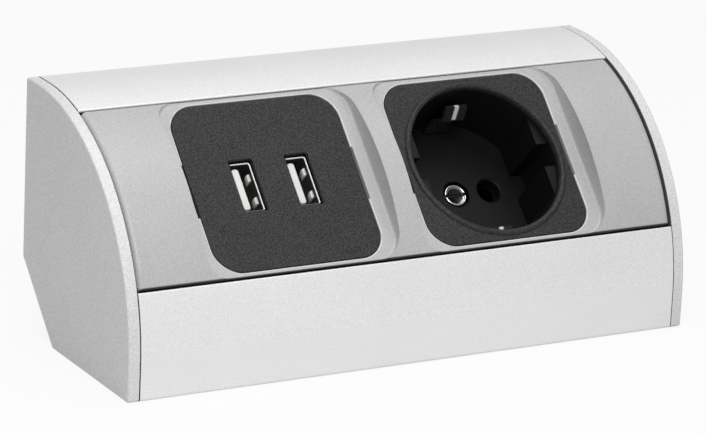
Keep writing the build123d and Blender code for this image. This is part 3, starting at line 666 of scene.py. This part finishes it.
@dataclass(frozen=True)
class DrawnMetal(Finish):
    """Satin metal with faint lines along its length, as extruded and anodised.

    Attributes:
        metallic: Share of its bare metal's look.
        speckle: Share by which lines, pores and patches are lighter or darker.
        lines: The drawn lines.
        pores: The pores of the anodised skin.
        patches: Wide patches.
        line_depth: Depth of the lines.
        pore_height: Height of the pores, as a share of the lines'.
        tones: Shares of lines, pores and patches in the tone.
        dull: Roughness between the ends of the lines' noise, and of the pores'.
    """

    metallic: float = 0.35
    speckle: float = 0.09
    lines: Noise = Noise(0.12, 3.0, (0.004, 1.0, 1.0))
    pores: Noise = Noise(0.3)
    patches: Noise = Noise(24.0)
    line_depth: float = 0.004
    pore_height: float = 0.6
    tones: Triple = (0.5, 0.7, 0.4)
    dull: tuple[float, float] = (0.12, 0.06)

    def material(self) -> bpy.types.Material:
        """Make the material: drawn lines and pores in the normal, the roughness and the tone.

        Returns:
            The material.
        """
        paint = Paint(self.slot)
        lines = paint.noise(self.lines)
        pores = paint.noise(self.pores)
        patches = paint.noise(self.patches)
        by_line, by_pore, by_patch = self.tones
        tone = (lines - MIDDLE) * by_line + (pores.ramp(*FINE_RANGE) - MIDDLE) * by_pore
        tone = tone + (patches - MIDDLE) * by_patch + MIDDLE
        dull = (lines - MIDDLE) * self.dull[0] + (pores - MIDDLE) * self.dull[1]
        return paint.surface({
            "Base Color": self.toned(paint, tone, self.speckle),
            "Metallic": self.metallic,
            "Roughness": self.roughness + dull,
            "Normal": paint.bump(lines + pores * self.pore_height, self.line_depth),
        })


@dataclass(frozen=True)
class PlatedMetal(Finish):
    """Plated sheet or screw metal with fine handling marks.

    Attributes:
        metallic: Share of its bare metal's look; the rest is dull plating.
        spread: Share by which marks and streaks are lighter or darker.
        marks: The handling marks.
        streaks: The brushed streaks.
        mark_depth: Depth of the marks.
        streak_height: Height of the streaks, as a share of the marks'.
        marked: Values of the marks between which the plating turns dull.
        dull: Roughness that the marks add.
        tones: Shares of marks and streaks in the tone.
    """

    metallic: float = 1.0
    spread: float = 0.08
    marks: Noise = Noise(2.5, 4.0)
    streaks: Noise = Noise(0.2, stretch=(1.0, 0.15, 0.15))
    mark_depth: float = 0.003
    streak_height: float = 0.3
    marked: Span = (0.45, 0.75)
    dull: float = 0.1
    tones: tuple[float, float] = (0.6, 0.4)

    def material(self) -> bpy.types.Material:
        """Make the material: marks that dull the plating in places, over brushed streaks.

        Returns:
            The material.
        """
        paint = Paint(self.slot)
        marks = paint.noise(self.marks)
        streaks = paint.noise(self.streaks)
        by_mark, by_streak = self.tones
        return paint.surface({
            "Base Color": self.toned(paint, marks * by_mark + streaks * by_streak, self.spread),
            "Metallic": self.metallic,
            "Roughness": self.roughness + marks.ramp(*self.marked) * self.dull,
            "Normal": paint.bump(marks + streaks * self.streak_height, self.mark_depth),
        })


# Painted shade on the caps' inner faces, at their joint with the profile.
SILVER_CAP = MouldedPlastic("silver_cap_plastic", (0.69, 0.69, 0.695), 0.42, Hollow.CAP_SEAM, 0.12,
                            grain=0.4, speckle=0.1, grain_depth=0.012)
# Painted shade along the cover's two long seams, and painted highlights along its windows' edges.
COVER_GREY = CoverPlastic("light_grey_cover_plastic", (0.46, 0.46, 0.465), 0.4, Hollow.COVER_SEAMS, 0.03,
                          speckle=0.085, grain_depth=0.01)
# Painted shade deep in the plates' openings, darker with depth.
ANTHRACITE = MouldedPlastic("anthracite_plastic", (0.027, 0.027, 0.028), 0.55, Hollow.BELOW_PLATES, 0.1,
                            grain=0.28, speckle=0.8, drift=0.06, grain_depth=0.03, specular=0.3)
BLACK = MouldedPlastic("black_plastic", (0.02, 0.02, 0.021), 0.4, speckle=0.1)
INSULATOR = MouldedPlastic("white_insulator", (0.72, 0.72, 0.71), 0.4, grain_depth=0.004, speckle=0.02)
LAMINATE = MouldedPlastic("board_laminate", (0.03, 0.16, 0.07), 0.3, speckle=0.15)
FERRITE = MouldedPlastic("ferrite", (0.07, 0.07, 0.075), 0.6, speckle=0.15)
TAPE = MouldedPlastic("winding_tape", (0.75, 0.58, 0.08), 0.35, speckle=0.04)
CAN_SLEEVE = MouldedPlastic("can_sleeve", (0.03, 0.03, 0.05), 0.25, speckle=0.05)
TERMINAL = MouldedPlastic("terminal_plastic", (0.55, 0.56, 0.57), 0.5)
BROWN = MouldedPlastic("brown_insulation", (0.19, 0.085, 0.035), 0.4, speckle=0.05)
BLUE = MouldedPlastic("blue_insulation", (0.04, 0.13, 0.45), 0.4, speckle=0.05)
EARTH = MouldedPlastic("earth_insulation", (0.14, 0.42, 0.06), 0.4, speckle=0.05)
RUBBER = MouldedPlastic("grommet_rubber", (0.02, 0.02, 0.02), 0.7, grain=0.5, speckle=0.1)
# Painted shade in the room behind the curved front and on the profile's ends at the caps.
ALUMINIUM = DrawnMetal("anodised_aluminium", (0.87, 0.87, 0.875), 0.48, Hollow.BEHIND_FRONT, 0.04)
GOLD = PlatedMetal("gold_contact", (0.70, 0.52, 0.24), 0.2)
# Painted shade on the contacts deep in the pin holes.
BRASS = PlatedMetal("contact_brass", (0.62, 0.48, 0.24), 0.3, Hollow.BELOW_PLATES, 0.06)
ZINC = PlatedMetal("zinc_plated_steel", (0.68, 0.69, 0.70), 0.26)
TINNED = PlatedMetal("tinned_copper", (0.74, 0.73, 0.70), 0.35)
# Painted highlights on the port's lip and spring crests, painted shade deep in the port.
SHELL_NICKEL = PlatedMetal("nickel_plated_steel", (0.95, 0.94, 0.92), 0.3, Hollow.PAINTED_IN_MESH, 0.03, metallic=0.2)
# Dark, with a painted glint down the clip's middle and painted shade beside and below it.
CLIP_NICKEL = PlatedMetal("nickel_plated_steel", (0.95, 0.95, 0.94), 0.25, Hollow.OFF_GLINT, 0.03,
                          metallic=0.2)
# Painted highlight on the screw's rim, painted shade in its dish and slot.
SCREW_ZINC = PlatedMetal("zinc_plated_steel", (0.80, 0.81, 0.82), 0.2, Hollow.PAINTED_IN_MESH, 0.05)


class Palette:
    """The finishes, each made once as a material."""

    def __init__(self, finishes: tuple[Finish, ...]) -> None:
        """Make the material of each finish."""
        self.made = {finish: finish.material() for finish in finishes}

    def of_slot(self, slot: str) -> bpy.types.Material:
        """Return the first material made for a slot."""
        return next(made for finish, made in self.made.items() if finish.slot == slot)

    def dress_node(self, name: str, finish: Finish | None = None) -> None:
        """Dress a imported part.

        Args:
            name: The part's node.
            finish: Its finish, or None for that of its own slot.
        """
        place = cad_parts[name].material_slots[0]
        slot = place.material.name.split(".")[0]
        place.material = self.made[finish] if finish else self.of_slot(slot)
        LOG.info("%s: packed part in %s", name, slot)


PALETTE = Palette((SILVER_CAP, COVER_GREY, ANTHRACITE, BLACK, INSULATOR, LAMINATE, FERRITE, TAPE, CAN_SLEEVE,
                   TERMINAL, BROWN, BLUE, EARTH, RUBBER, ALUMINIUM, GOLD, BRASS, ZINC, TINNED, SHELL_NICKEL,
                   CLIP_NICKEL, SCREW_ZINC))


# Meshes

def rounded_loop(half_width: np.ndarray, half_height: np.ndarray, corner: np.ndarray,
                 across: int = 24, along: int = 120, turn: int = 8) -> tuple[np.ndarray, np.ndarray]:
    """Draw the outlines of rectangles with rounded corners, one outline per row.

    Each corner is a quarter circle about its own centre, and the sides join one quarter's
    end with the next one's start. Every row has the same number of points, at the same
    shares of the same stretches, so rows of different sizes join into one surface.

    Args:
        half_width: Half the width of each row's rectangle.
        half_height: Half the height of each row's rectangle.
        corner: Corner radius of each row's rectangle.
        across: Points between the corners of a horizontal side.
        along: Points between the corners of a vertical side.
        turn: Steps in each corner.

    Returns:
        The horizontal and the vertical coordinate of each point.
    """
    wide, tall, corner = (np.asarray(size, float)[:, None] for size in (half_width, half_height, corner))
    angles = np.linspace(0.0, math.pi / 2, turn + 1)[None, :]
    columns = []
    for quarter, (side_x, side_y) in enumerate(((1, 1), (-1, 1), (-1, -1), (1, -1))):
        turned = angles + quarter * math.pi / 2
        columns.append(((wide - corner) * side_x + corner * np.cos(turned),
                        (tall - corner) * side_y + corner * np.sin(turned)))
    pieces_x, pieces_y = [], []
    for number, (arc_x, arc_y) in enumerate(columns):
        next_x, next_y = columns[(number + 1) % len(columns)]
        count = across if number % 2 == 0 else along
        share = np.linspace(0.0, 1.0, count + 2)[None, 1:-1]
        pieces_x += [arc_x, arc_x[:, -1:] + (next_x[:, :1] - arc_x[:, -1:]) * share]
        pieces_y += [arc_y, arc_y[:, -1:] + (next_y[:, :1] - arc_y[:, -1:]) * share]
    return np.hstack(pieces_x), np.hstack(pieces_y)


def eased(value: np.ndarray, low: float, high: float) -> np.ndarray:
    """Return 0 below a low value, 1 above a high one and a smooth step between them."""
    share = np.clip((value - low) / (high - low), 0.0, 1.0)
    return share * share * (3 - 2 * share)


@dataclass
class Surface:
    """A grid of points: one outline per row, closed round its columns.

    Attributes:
        name: Name of the piece.
        points: Places in metres, by row, column and coordinate.
        wear: Painted light at each point, by row and column, or None: 1 for a highlight, 0 for shade.
        ring: Whether the last row joins the first one; otherwise both end in one point.
        sharp_from: Angle between two faces, in degrees, from which their edge stays sharp.
        joined: Distance, in metres, below which points become one.
    """

    name: str
    points: np.ndarray
    wear: np.ndarray | None = None
    ring: bool = False
    sharp_from: float = 40.0
    joined: float = 1e-7

    def piece(self, finish: Finish, *stands_for: str) -> bpy.types.Object:
        """Make the object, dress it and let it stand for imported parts.

        Args:
            finish: The finish it gets.
            stands_for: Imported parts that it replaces.

        Returns:
            The new object.
        """
        rows, columns = self.points.shape[:2]
        index = np.arange(rows * columns).reshape(rows, columns)
        across = np.roll(index, -1, axis=1)
        quads = np.stack((index, across, np.roll(across, -1, axis=0), np.roll(index, -1, axis=0)), axis=-1)
        if not self.ring:
            quads = quads[:-1]
        mesh = bpy.data.meshes.new(self.name)
        mesh.from_pydata(self.points.reshape(-1, 3).tolist(), [], quads.reshape(-1, 4).tolist())
        # the painted light goes into the mesh as an attribute
        if self.wear is not None:
            layer = mesh.attributes.new(PAINTED_LIGHT_ATTRIBUTE, "FLOAT", "POINT")
            layer.data.foreach_set("value", self.wear.ravel().astype(np.float32))
        self._close(mesh)
        mesh.materials.append(PALETTE.made[finish])
        made = bpy.data.objects.new(self.name, mesh)
        bpy.context.scene.collection.objects.link(made)
        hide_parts(*stands_for)
        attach(made, "root")
        LOG.info("%s: %d faces, for %s", self.name, len(mesh.polygons), ", ".join(stands_for))
        return made

    def _close(self, mesh: bpy.types.Mesh) -> None:
        """Join points that lie in one place, turn all faces outward and shade them.

        Args:
            mesh: The mesh of the piece.
        """
        shape = bmesh.new()
        shape.from_mesh(mesh)
        bmesh.ops.remove_doubles(shape, verts=shape.verts, dist=self.joined)
        bmesh.ops.recalc_face_normals(shape, faces=shape.faces)
        shape.to_mesh(mesh)
        shape.free()
        mesh.shade_smooth()
        mesh.set_sharp_from_angle(angle=math.radians(self.sharp_from))


# Sub-assemblies

@dataclass
class SubAssembly:
    """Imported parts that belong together.

    Attributes:
        nodes: Their names.
    """

    nodes: tuple[str, ...] = ()

    def build(self) -> None:
        """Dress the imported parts."""
        for name in self.nodes:
            PALETTE.dress_node(name)


@dataclass
class Housing(SubAssembly):
    """The aluminium profile, its end caps, the cable inlet and the curved cover."""

    nodes: tuple[str, ...] = ("housing_profile", "left_end_cap", "right_end_cap", "front_cover",
                              "cable_grommet")


@dataclass
class UsbPort(SubAssembly):
    """One port: a steel shell with leaf springs, and the moulded tongue inside it.

    Attributes:
        side: The port's name, left or right.
        shell_width: Outer width of the shell.
        shell_height: Outer height of the shell.
        shell_corner: Outer corner radius of the shell.
        wall: Thickness of its sheet.
        front: Depth of its front edge below the plate.
        back: Depth of its back edge.
        spring_places: Middle of each leaf spring, up from the port's middle.
        spring_width: Width of a spring.
        spring_side: Distances from a spring's long edge between which it meets the wall.
        spring_rise: How far a spring stands into the shell.
        spring_start: From the front edge to a spring's root.
        spring_crest: From the root to the crest.
        spring_flat: Length of the crest.
        spring_run: From the crest back to the wall.
        tongue_x: Middle of the tongue, from the port's middle.
        tongue_size: Thickness and height of the tongue.
        tongue_corner: Corner radius of the tongue.
        tip: Depth of the tongue's end below the plate.
        tip_round: Radius of its rounded end.
        base_front: Depth at which the block behind the tongue starts.
        base_play: Gap between that block and the shell.
        row: Distance between two rows of points on the inner wall.
        round_steps: Steps round the shell's front edge and round the tongue's end.
        lip: Distances from the front edge between which its painted highlight ends.
        shine_x: Shares of the width, from the middle, over which the lip's painted highlight starts.
        shine_rise: Shares of the height, from the middle, over which the lip's painted highlight starts.
        painted: Shares of a spring's rise between which its painted highlight starts.
        sprung_wall: Thicknesses inside the outer face that count as the sprung wall.
    """

    side: str = "left"
    shell_width: float = 5.7
    shell_height: float = 13.2
    shell_corner: float = 0.7
    wall: float = 0.35
    front: float = 1.15
    back: float = 15.0
    spring_places: tuple[float, float] = (-3.1, 3.1)
    spring_width: float = 1.9
    spring_side: Span = (-0.1, 0.15)
    spring_rise: float = 0.75
    spring_start: float = 0.8
    spring_crest: float = 0.9
    spring_flat: float = 0.6
    spring_run: float = 3.0
    tongue_x: float = -1.2
    tongue_size: tuple[float, float] = (1.84, 11.1)
    tongue_corner: float = 0.7
    tip: float = 1.9
    tip_round: float = 0.3
    base_front: float = 10.5
    base_play: float = 0.05
    row: float = 0.15
    round_steps: tuple[int, int] = (8, 6)
    lip: Span = (0.1, 0.3)
    shine_x: Span = (-0.45, -0.4)
    shine_rise: Span = (-0.49, -0.46)
    rubbed: Span = (0.15, 0.6)
    sprung_wall: float = 1.2

    def build(self) -> None:
        """Make the shell and the tongue and dress the contacts."""
        super().build()
        self.shell().piece(SHELL_NICKEL, f"usb_shell_{self.side}")
        self.tongue().piece(INSULATOR, f"usb_tongue_{self.side}")

    def spring(self, rise: np.ndarray, depth: np.ndarray) -> np.ndarray:
        """Work out how far the springs stand off the wall.

        Along the depth a spring climbs smoothly from its root to its crest, stays level
        there and runs back to the wall. Across its width it is flat with soft edges.

        Args:
            rise: Distance up along the plane of the plates, from the port's middle.
            depth: Distance below that plane.

        Returns:
            The distance from the wall, at each place.
        """
        root = self.front + self.spring_start
        crest = root + self.spring_crest
        end = crest + self.spring_flat
        along = eased(depth, root, crest) * (1.0 - eased(depth, end, end + self.spring_run))
        low, high = (self.spring_width / 2 + side for side in self.spring_side)
        width = sum(1.0 - eased(np.abs(rise - place), low, high) for place in self.spring_places)
        return self.spring_rise * along * width

    def painted_highlight(self, x: np.ndarray, rise: np.ndarray, depth: np.ndarray, lift: np.ndarray) -> np.ndarray:
        """Work out where a highlight or shade is painted on the shell.

        A highlight is painted on the lip, apart from its left and its lowest part, and on the
        springs' crests; shade is painted on the rest.

        Args:
            x: Distance to the right, from the port's middle.
            rise: Distance up along the plane of the plates.
            depth: Distance below that plane.
            lift: How far the springs stand off the wall.

        Returns:
            1 where a highlight is painted, falling to 0 where shade is painted.
        """
        lip = 1.0 - eased(depth, self.front + self.lip[0], self.front + self.lip[1])
        lip = lip * eased(x / self.shell_width, *self.shine_x)
        lip = lip * eased(rise / self.shell_height, *self.shine_rise)
        return np.maximum(lip, eased(lift / self.spring_rise, *self.rubbed))

    def shell(self) -> Surface:
        """Carry the outline of the shell's sheet round a rounded rectangle.

        Rows follow the sheet from its back edge along the outside, over the half-round
        front edge and along the inside. The inner rows are moved in by the springs.

        Returns:
            The shell.
        """
        half = self.wall / 2
        turned = np.linspace(0.0, math.pi, self.round_steps[0] + 1)
        inner = np.arange(self.front + half + self.row, self.back, self.row)
        inset = np.concatenate(([0.0, 0.0], half * (1 - np.cos(turned)), np.full(inner.size, self.wall),
                                [self.wall]))
        depth = np.concatenate(([self.back, self.front + 2 * self.wall],
                                self.front + half * (1 - np.sin(turned)), inner, [self.back]))
        x, rise = rounded_loop(self.shell_width / 2 - inset, self.shell_height / 2 - inset,
                               self.shell_corner - inset)
        depth = np.broadcast_to(depth[:, None], x.shape)
        inside = np.isclose(inset, self.wall)[:, None]
        sprung = inside & (x > self.shell_width / 2 - self.sprung_wall * self.wall)
        lift = np.where(sprung, self.spring(rise, depth), 0.0)
        middle = middle_x(f"usb_shell_{self.side}")
        points = SLOPE.place(middle + x - lift, rise, depth)
        # the shell's painted highlights and painted shade go with its mesh
        return Surface(f"usb_shell_{self.side}_piece", points, self.painted_highlight(x, rise, depth, lift), ring=True)

    def tongue(self) -> Surface:
        """Join outlines of growing depth, from the tongue's rounded end to its block's back.

        The end follows a quarter circle, along which the corners' radius shrinks half as
        fast as the outline.

        Returns:
            The tongue.
        """
        turned = np.linspace(0.0, math.pi / 2, self.round_steps[1] + 1)
        inset = np.concatenate((self.tip_round * (1 - np.sin(turned)), [0.0]))
        thickness, height = self.tongue_size
        base_x = self.shell_width / 2 - self.wall - self.base_play
        base_y = self.shell_height / 2 - self.wall - self.base_play
        half_x = np.concatenate(([0.0], thickness / 2 - inset, [base_x, base_x, 0.0]))
        half_y = np.concatenate(([0.0], height / 2 - inset, [base_y, base_y, 0.0]))
        corner = np.concatenate(([0.0], self.tongue_corner - inset / 2, [self.wall, self.wall, 0.0]))
        depth = np.concatenate(([self.tip], self.tip + self.tip_round * (1 - np.cos(turned)),
                                [self.base_front, self.base_front, self.back, self.back]))
        shift = np.concatenate((np.full(inset.size + 1, self.tongue_x), [0.0, 0.0, 0.0]))
        x, rise = rounded_loop(half_x, half_y, corner, across=8, along=24)
        middle = middle_x(f"usb_shell_{self.side}")
        points = SLOPE.place(middle + shift[:, None] + x, rise, depth[:, None])
        return Surface(f"usb_tongue_{self.side}_piece", points)


@dataclass
class Charger(SubAssembly):
    """The charger module: its plate, two ports and the works behind them.

    Attributes:
        ports: The two ports.
    """

    nodes: tuple[str, ...] = ("charger_face", "charger_housing", "charger_circuit_board", "transformer_core",
                              "transformer_winding", "input_capacitor", "output_capacitor",
                              "controller_chip", "charger_terminal_block", "charger_terminal_screws")
    ports: tuple[UsbPort, ...] = (UsbPort(("usb_contacts_left",), "left"),
                                  UsbPort(("usb_contacts_right",), "right"))

    def build(self) -> None:
        """Dress the module and make its ports."""
        super().build()
        for port in self.ports:
            port.build()


@dataclass
class CentreScrew(SubAssembly):
    """The screw at the bottom of the recess, with a dished head and a straight slot.

    Attributes:
        seat: Depth of the seat under its head.
        head_radius: Radius of the head.
        head_height: Height of the head.
        rim: Radius of the rounded rim.
        dish: Depth of the hollow inside the rim.
        slot_width: Width of the slot.
        slot_depth: Depth of the slot.
        shank_radius: Radius of the shank.
        point: Length of the shank's bevelled end.
        rows: Rows of points on the dish, round the rim and down the head's side.
        around: Points round the axis.
        side_start: Distance from the rim to the first row of the head's side.
        slot_edge: Half the width over which the slot's wall falls.
        shine: Distances from the rim's inner edge between which the painted highlight starts, with painted
            shade inside.
        slot_shade: Share of the painted highlight that painted shade in the slot takes away.
    """

    seat: float = 20.5
    head_radius: float = 3.0
    head_height: float = 1.7
    rim: float = 0.34
    dish: float = 0.55
    slot_width: float = 0.7
    slot_depth: float = 0.7
    shank_radius: float = 1.3
    point: float = 0.4
    rows: tuple[int, int, int] = (17, 13, 8)
    around: int = 192
    side_start: float = 0.04
    slot_edge: float = 0.06
    shine: Span = (-0.35, 0.1)
    slot_shade: float = 0.9

    def build(self) -> None:
        """Make the screw."""
        self.screw().piece(SCREW_ZINC, "socket_centre_screw")

    def shank_end(self) -> float:
        """Return the depth of the shank's end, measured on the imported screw."""
        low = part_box("socket_centre_screw")[0].z / MM
        return (SLOPE.middle_z - low) / TILT - self.shank_radius

    def profile(self) -> tuple[np.ndarray, np.ndarray]:
        """Draw the screw's outline, from the middle of its head to its point.

        The hollow follows a parabola, the rim a half circle, and straight lines the rest.

        Returns:
            The radius and the depth of each point of the outline.
        """
        dish_rows, rim_rows, side_rows = self.rows
        top = self.seat - self.head_height
        inner = self.head_radius - 2 * self.rim
        bowl = np.linspace(0.0, inner, dish_rows, endpoint=False)
        turned = np.linspace(0.0, math.pi, rim_rows)
        rim_radius = self.head_radius - self.rim - self.rim * np.cos(turned)
        rim_depth = top + self.rim * (1 - np.sin(turned))
        bowl_depth = top + self.rim + (self.dish - self.rim) * (1 - (bowl / inner) ** 2)
        sides = np.linspace(top + self.rim + self.side_start, top + self.slot_depth, side_rows)
        end = self.shank_end()
        radius = np.concatenate((bowl, rim_radius, np.full(sides.size, self.head_radius),
                                 [self.head_radius, self.shank_radius, self.shank_radius,
                                  self.shank_radius - self.point, 0.0]))
        depth = np.concatenate((bowl_depth, rim_depth, sides,
                                [self.seat, self.seat, end - self.point, end, end]))
        return radius, depth

    def screw(self) -> Surface:
        """Turn the outline about the screw's axis and press the slot in.

        Inside the slot every point above its floor is carried down to the floor. A highlight is painted on
        the rim, and shade in the dish and the slot.

        Returns:
            The screw.
        """
        radius, depth = self.profile()
        turn = np.linspace(0.0, 2 * math.pi, self.around, endpoint=False)[None, :]
        x = radius[:, None] * np.cos(turn)
        rise = radius[:, None] * np.sin(turn)
        depth = np.broadcast_to(depth[:, None], x.shape)
        floor = self.seat - self.head_height + self.slot_depth
        half = self.slot_width / 2
        in_slot = 1.0 - eased(np.abs(rise), half - self.slot_edge, half + self.slot_edge)
        cut = np.where(depth < floor, depth + (floor - depth) * in_slot, depth)
        # painted highlight on the rim, painted shade in the dish and the slot
        start, end = (self.head_radius - 2 * self.rim + place for place in self.shine)
        painted_highlight = eased(np.hypot(x, rise), start, end) * (1.0 - self.slot_shade * in_slot)
        points = SLOPE.place(middle_x("socket_face") + x, rise, cut)
        return Surface("socket_centre_screw_piece", points, painted_highlight)


@dataclass
class Socket(SubAssembly):
    """The earthed socket module: its face with the recess, its clip, contacts and base.

    Attributes:
        screw: The screw at the middle of the recess.
    """

    nodes: tuple[str, ...] = ("socket_face", "socket_base", "live_contact", "neutral_contact",
                              "socket_terminal_screws")
    screw: CentreScrew = field(default_factory=CentreScrew)

    def build(self) -> None:
        """Dress the module and its clip, and make its screw."""
        super().build()
        PALETTE.dress_node("earth_clip", CLIP_NICKEL)
        self.screw.build()


@dataclass
class Wiring(SubAssembly):
    """The wires that link both modules and the housing."""

    nodes: tuple[str, ...] = ("live_link_wire", "neutral_link_wire", "earth_link_wire", "earth_tag",
                              "earth_screw")


# Studio

@dataclass(frozen=True)
class Lamp:
    """A square lamp that faces the unit.

    Attributes:
        name: Its name.
        place: Its middle.
        width: Its side.
        power: Its power in watts.
    """

    name: str
    place: Triple
    width: float
    power: float

    def build(self, aim: Vector) -> None:
        """Hang the lamp.

        Args:
            aim: The place that it points at, in metres.
        """
        data = bpy.data.lights.new(self.name, "AREA")
        data.shape = "SQUARE"
        data.size = self.width * MM
        data.energy = self.power
        lamp = bpy.data.objects.new(self.name, data)
        bpy.context.scene.collection.objects.link(lamp)
        position = Vector(self.place) * MM
        facing = (position - aim).to_track_quat("Z", "Y").to_matrix().to_4x4()
        lamp.matrix_world = Matrix.Translation(position) @ facing


@dataclass
class Floor:
    """A wide white floor that keeps a soft shadow and is clear from below.

    Attributes:
        half: Half its side.
        gap: Distance below the unit's foot.
        seen: Share of plain white where the camera sees it.
        mirrored: Share of plain white where a surface mirrors it.
        colour: Its colour under the lamps.
    """

    half: float = 3000.0
    gap: float = 0.1
    seen: float = 0.9
    mirrored: float = 0.2
    colour: Triple = (0.7, 0.7, 0.7)

    def build(self) -> None:
        """Lay the floor."""
        corners = np.array([(-1, -1), (1, -1), (1, 1), (-1, 1)]) * self.half
        points = np.column_stack((corners, np.full(len(corners), -self.gap))) * MM
        mesh = bpy.data.meshes.new("floor")
        mesh.from_pydata(points.tolist(), [], [(0, 1, 2, 3)])
        floor = bpy.data.objects.new("floor", mesh)
        bpy.context.scene.collection.objects.link(floor)
        mesh.materials.append(self.material())

    def material(self) -> bpy.types.Material:
        """Make the material: a mix of lit grey and plain white from above, clear from below.

        Returns:
            The material.
        """
        paint = Paint("floor")
        camera = paint.channel("ShaderNodeLightPath", "Is Camera Ray")
        glossy = paint.channel("ShaderNodeLightPath", "Is Glossy Ray")
        diffuse = paint.node("ShaderNodeBsdfDiffuse", inputs={"Color": (*self.colour, 1.0)})
        white = paint.node("ShaderNodeEmission", inputs={"Strength": 1.0})
        share = camera * self.seen + glossy * self.mirrored
        mix = paint.node("ShaderNodeMixShader",
                         inputs={0: share, 1: diffuse.outputs[0], 2: white.outputs[0]})
        below = paint.channel("ShaderNodeNewGeometry", "Backfacing")
        clear = paint.node("ShaderNodeBsdfTransparent")
        both = paint.node("ShaderNodeMixShader", inputs={0: below, 1: mix.outputs[0], 2: clear.outputs[0]})
        paint.node("ShaderNodeOutputMaterial", inputs={"Surface": both.outputs[0]})
        return paint.material


@dataclass
class Studio:
    """Camera, lamps, world and floor.

    Attributes:
        azimuth: Where the camera stands round the unit, in degrees from its front.
        elevation: Its angle above the floor.
        roll: Its turn about its own axis.
        distance: Its distance.
        aim_along: How far its aim lies to the right of the unit's middle.
        aim_height: How far its aim lies above the unit's foot, across the view.
        lens: Its focal length.
        sensor: Width of its sensor.
        clip: Distances between which it sees.
        soft: Strength of the light from all round.
        lamps: The lamps.
        floor: The floor.
    """

    azimuth: float = -29.58
    elevation: float = 17.20
    roll: float = 2.71
    distance: float = 988.0
    aim_along: float = -1.64
    aim_height: float = 27.0
    lens: float = 204.0
    sensor: float = 36.0
    clip: Span = (50.0, 50000.0)
    soft: float = 0.40
    lamps: tuple[Lamp, ...] = (Lamp("key", (-170.0, -330.0, 330.0), 200.0, 0.95),
                               Lamp("above", (60.0, -60.0, 900.0), 600.0, 3.5))
    floor: Floor = field(default_factory=Floor)

    def build(self) -> None:
        """Set the stage."""
        self.camera()
        self.world()
        self.floor.build()
        for lamp in self.lamps:
            lamp.build(Vector((0.0, 0.0, self.aim_height * MM)))
        bpy.context.scene.view_settings.view_transform = "Standard"

    def camera(self) -> None:
        """Place the camera on its sphere round the unit, with its roll."""
        azimuth = math.radians(self.azimuth)
        elevation = math.radians(self.elevation)
        back = Vector((math.sin(azimuth) * math.cos(elevation), -math.cos(azimuth) * math.cos(elevation),
                       math.sin(elevation)))
        right = Vector((math.cos(azimuth), math.sin(azimuth), 0.0))
        up = back.cross(right)
        place = right * self.aim_along + up * self.aim_height + back * self.distance
        turn = math.radians(self.roll)
        side = right * math.cos(turn) + up * math.sin(turn)
        top = up * math.cos(turn) - right * math.sin(turn)
        data = bpy.data.cameras.new("photo_camera")
        data.lens = self.lens
        data.sensor_width = self.sensor
        data.sensor_fit = "HORIZONTAL"
        data.clip_start, data.clip_end = (end * MM for end in self.clip)
        camera = bpy.data.objects.new("photo_camera", data)
        bpy.context.scene.collection.objects.link(camera)
        axes = Matrix((side, top, back)).transposed().to_4x4()
        camera.matrix_world = Matrix.Translation(place * MM) @ axes
        bpy.context.scene.camera = camera

    def world(self) -> None:
        """Light the unit softly from all round, and show plain white where the world is seen."""
        world = bpy.data.worlds.new("studio")
        bpy.context.scene.world = world
        world.use_nodes = True
        nodes = Nodes(world.node_tree)
        camera = nodes.channel("ShaderNodeLightPath", "Is Camera Ray")
        through = nodes.channel("ShaderNodeLightPath", "Is Transmission Ray")
        soft = nodes.node("ShaderNodeBackground", inputs={"Color": WHITE, "Strength": self.soft})
        white = nodes.node("ShaderNodeBackground", inputs={"Color": WHITE, "Strength": 1.0})
        mix = nodes.node("ShaderNodeMixShader",
                         inputs={0: camera + through, 1: soft.outputs[0], 2: white.outputs[0]})
        nodes.node("ShaderNodeOutputWorld", inputs={"Surface": mix.outputs[0]})


def main() -> None:
    """Build the sub-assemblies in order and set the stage."""
    logging.basicConfig(level=logging.INFO, format="%(name)s: %(message)s")
    for assembly in (Housing(), Charger(), Socket(), Wiring()):
        LOG.info("building %s", type(assembly).__name__)
        assembly.build()
    Studio().build()


if __name__ == "__main__":
    main()
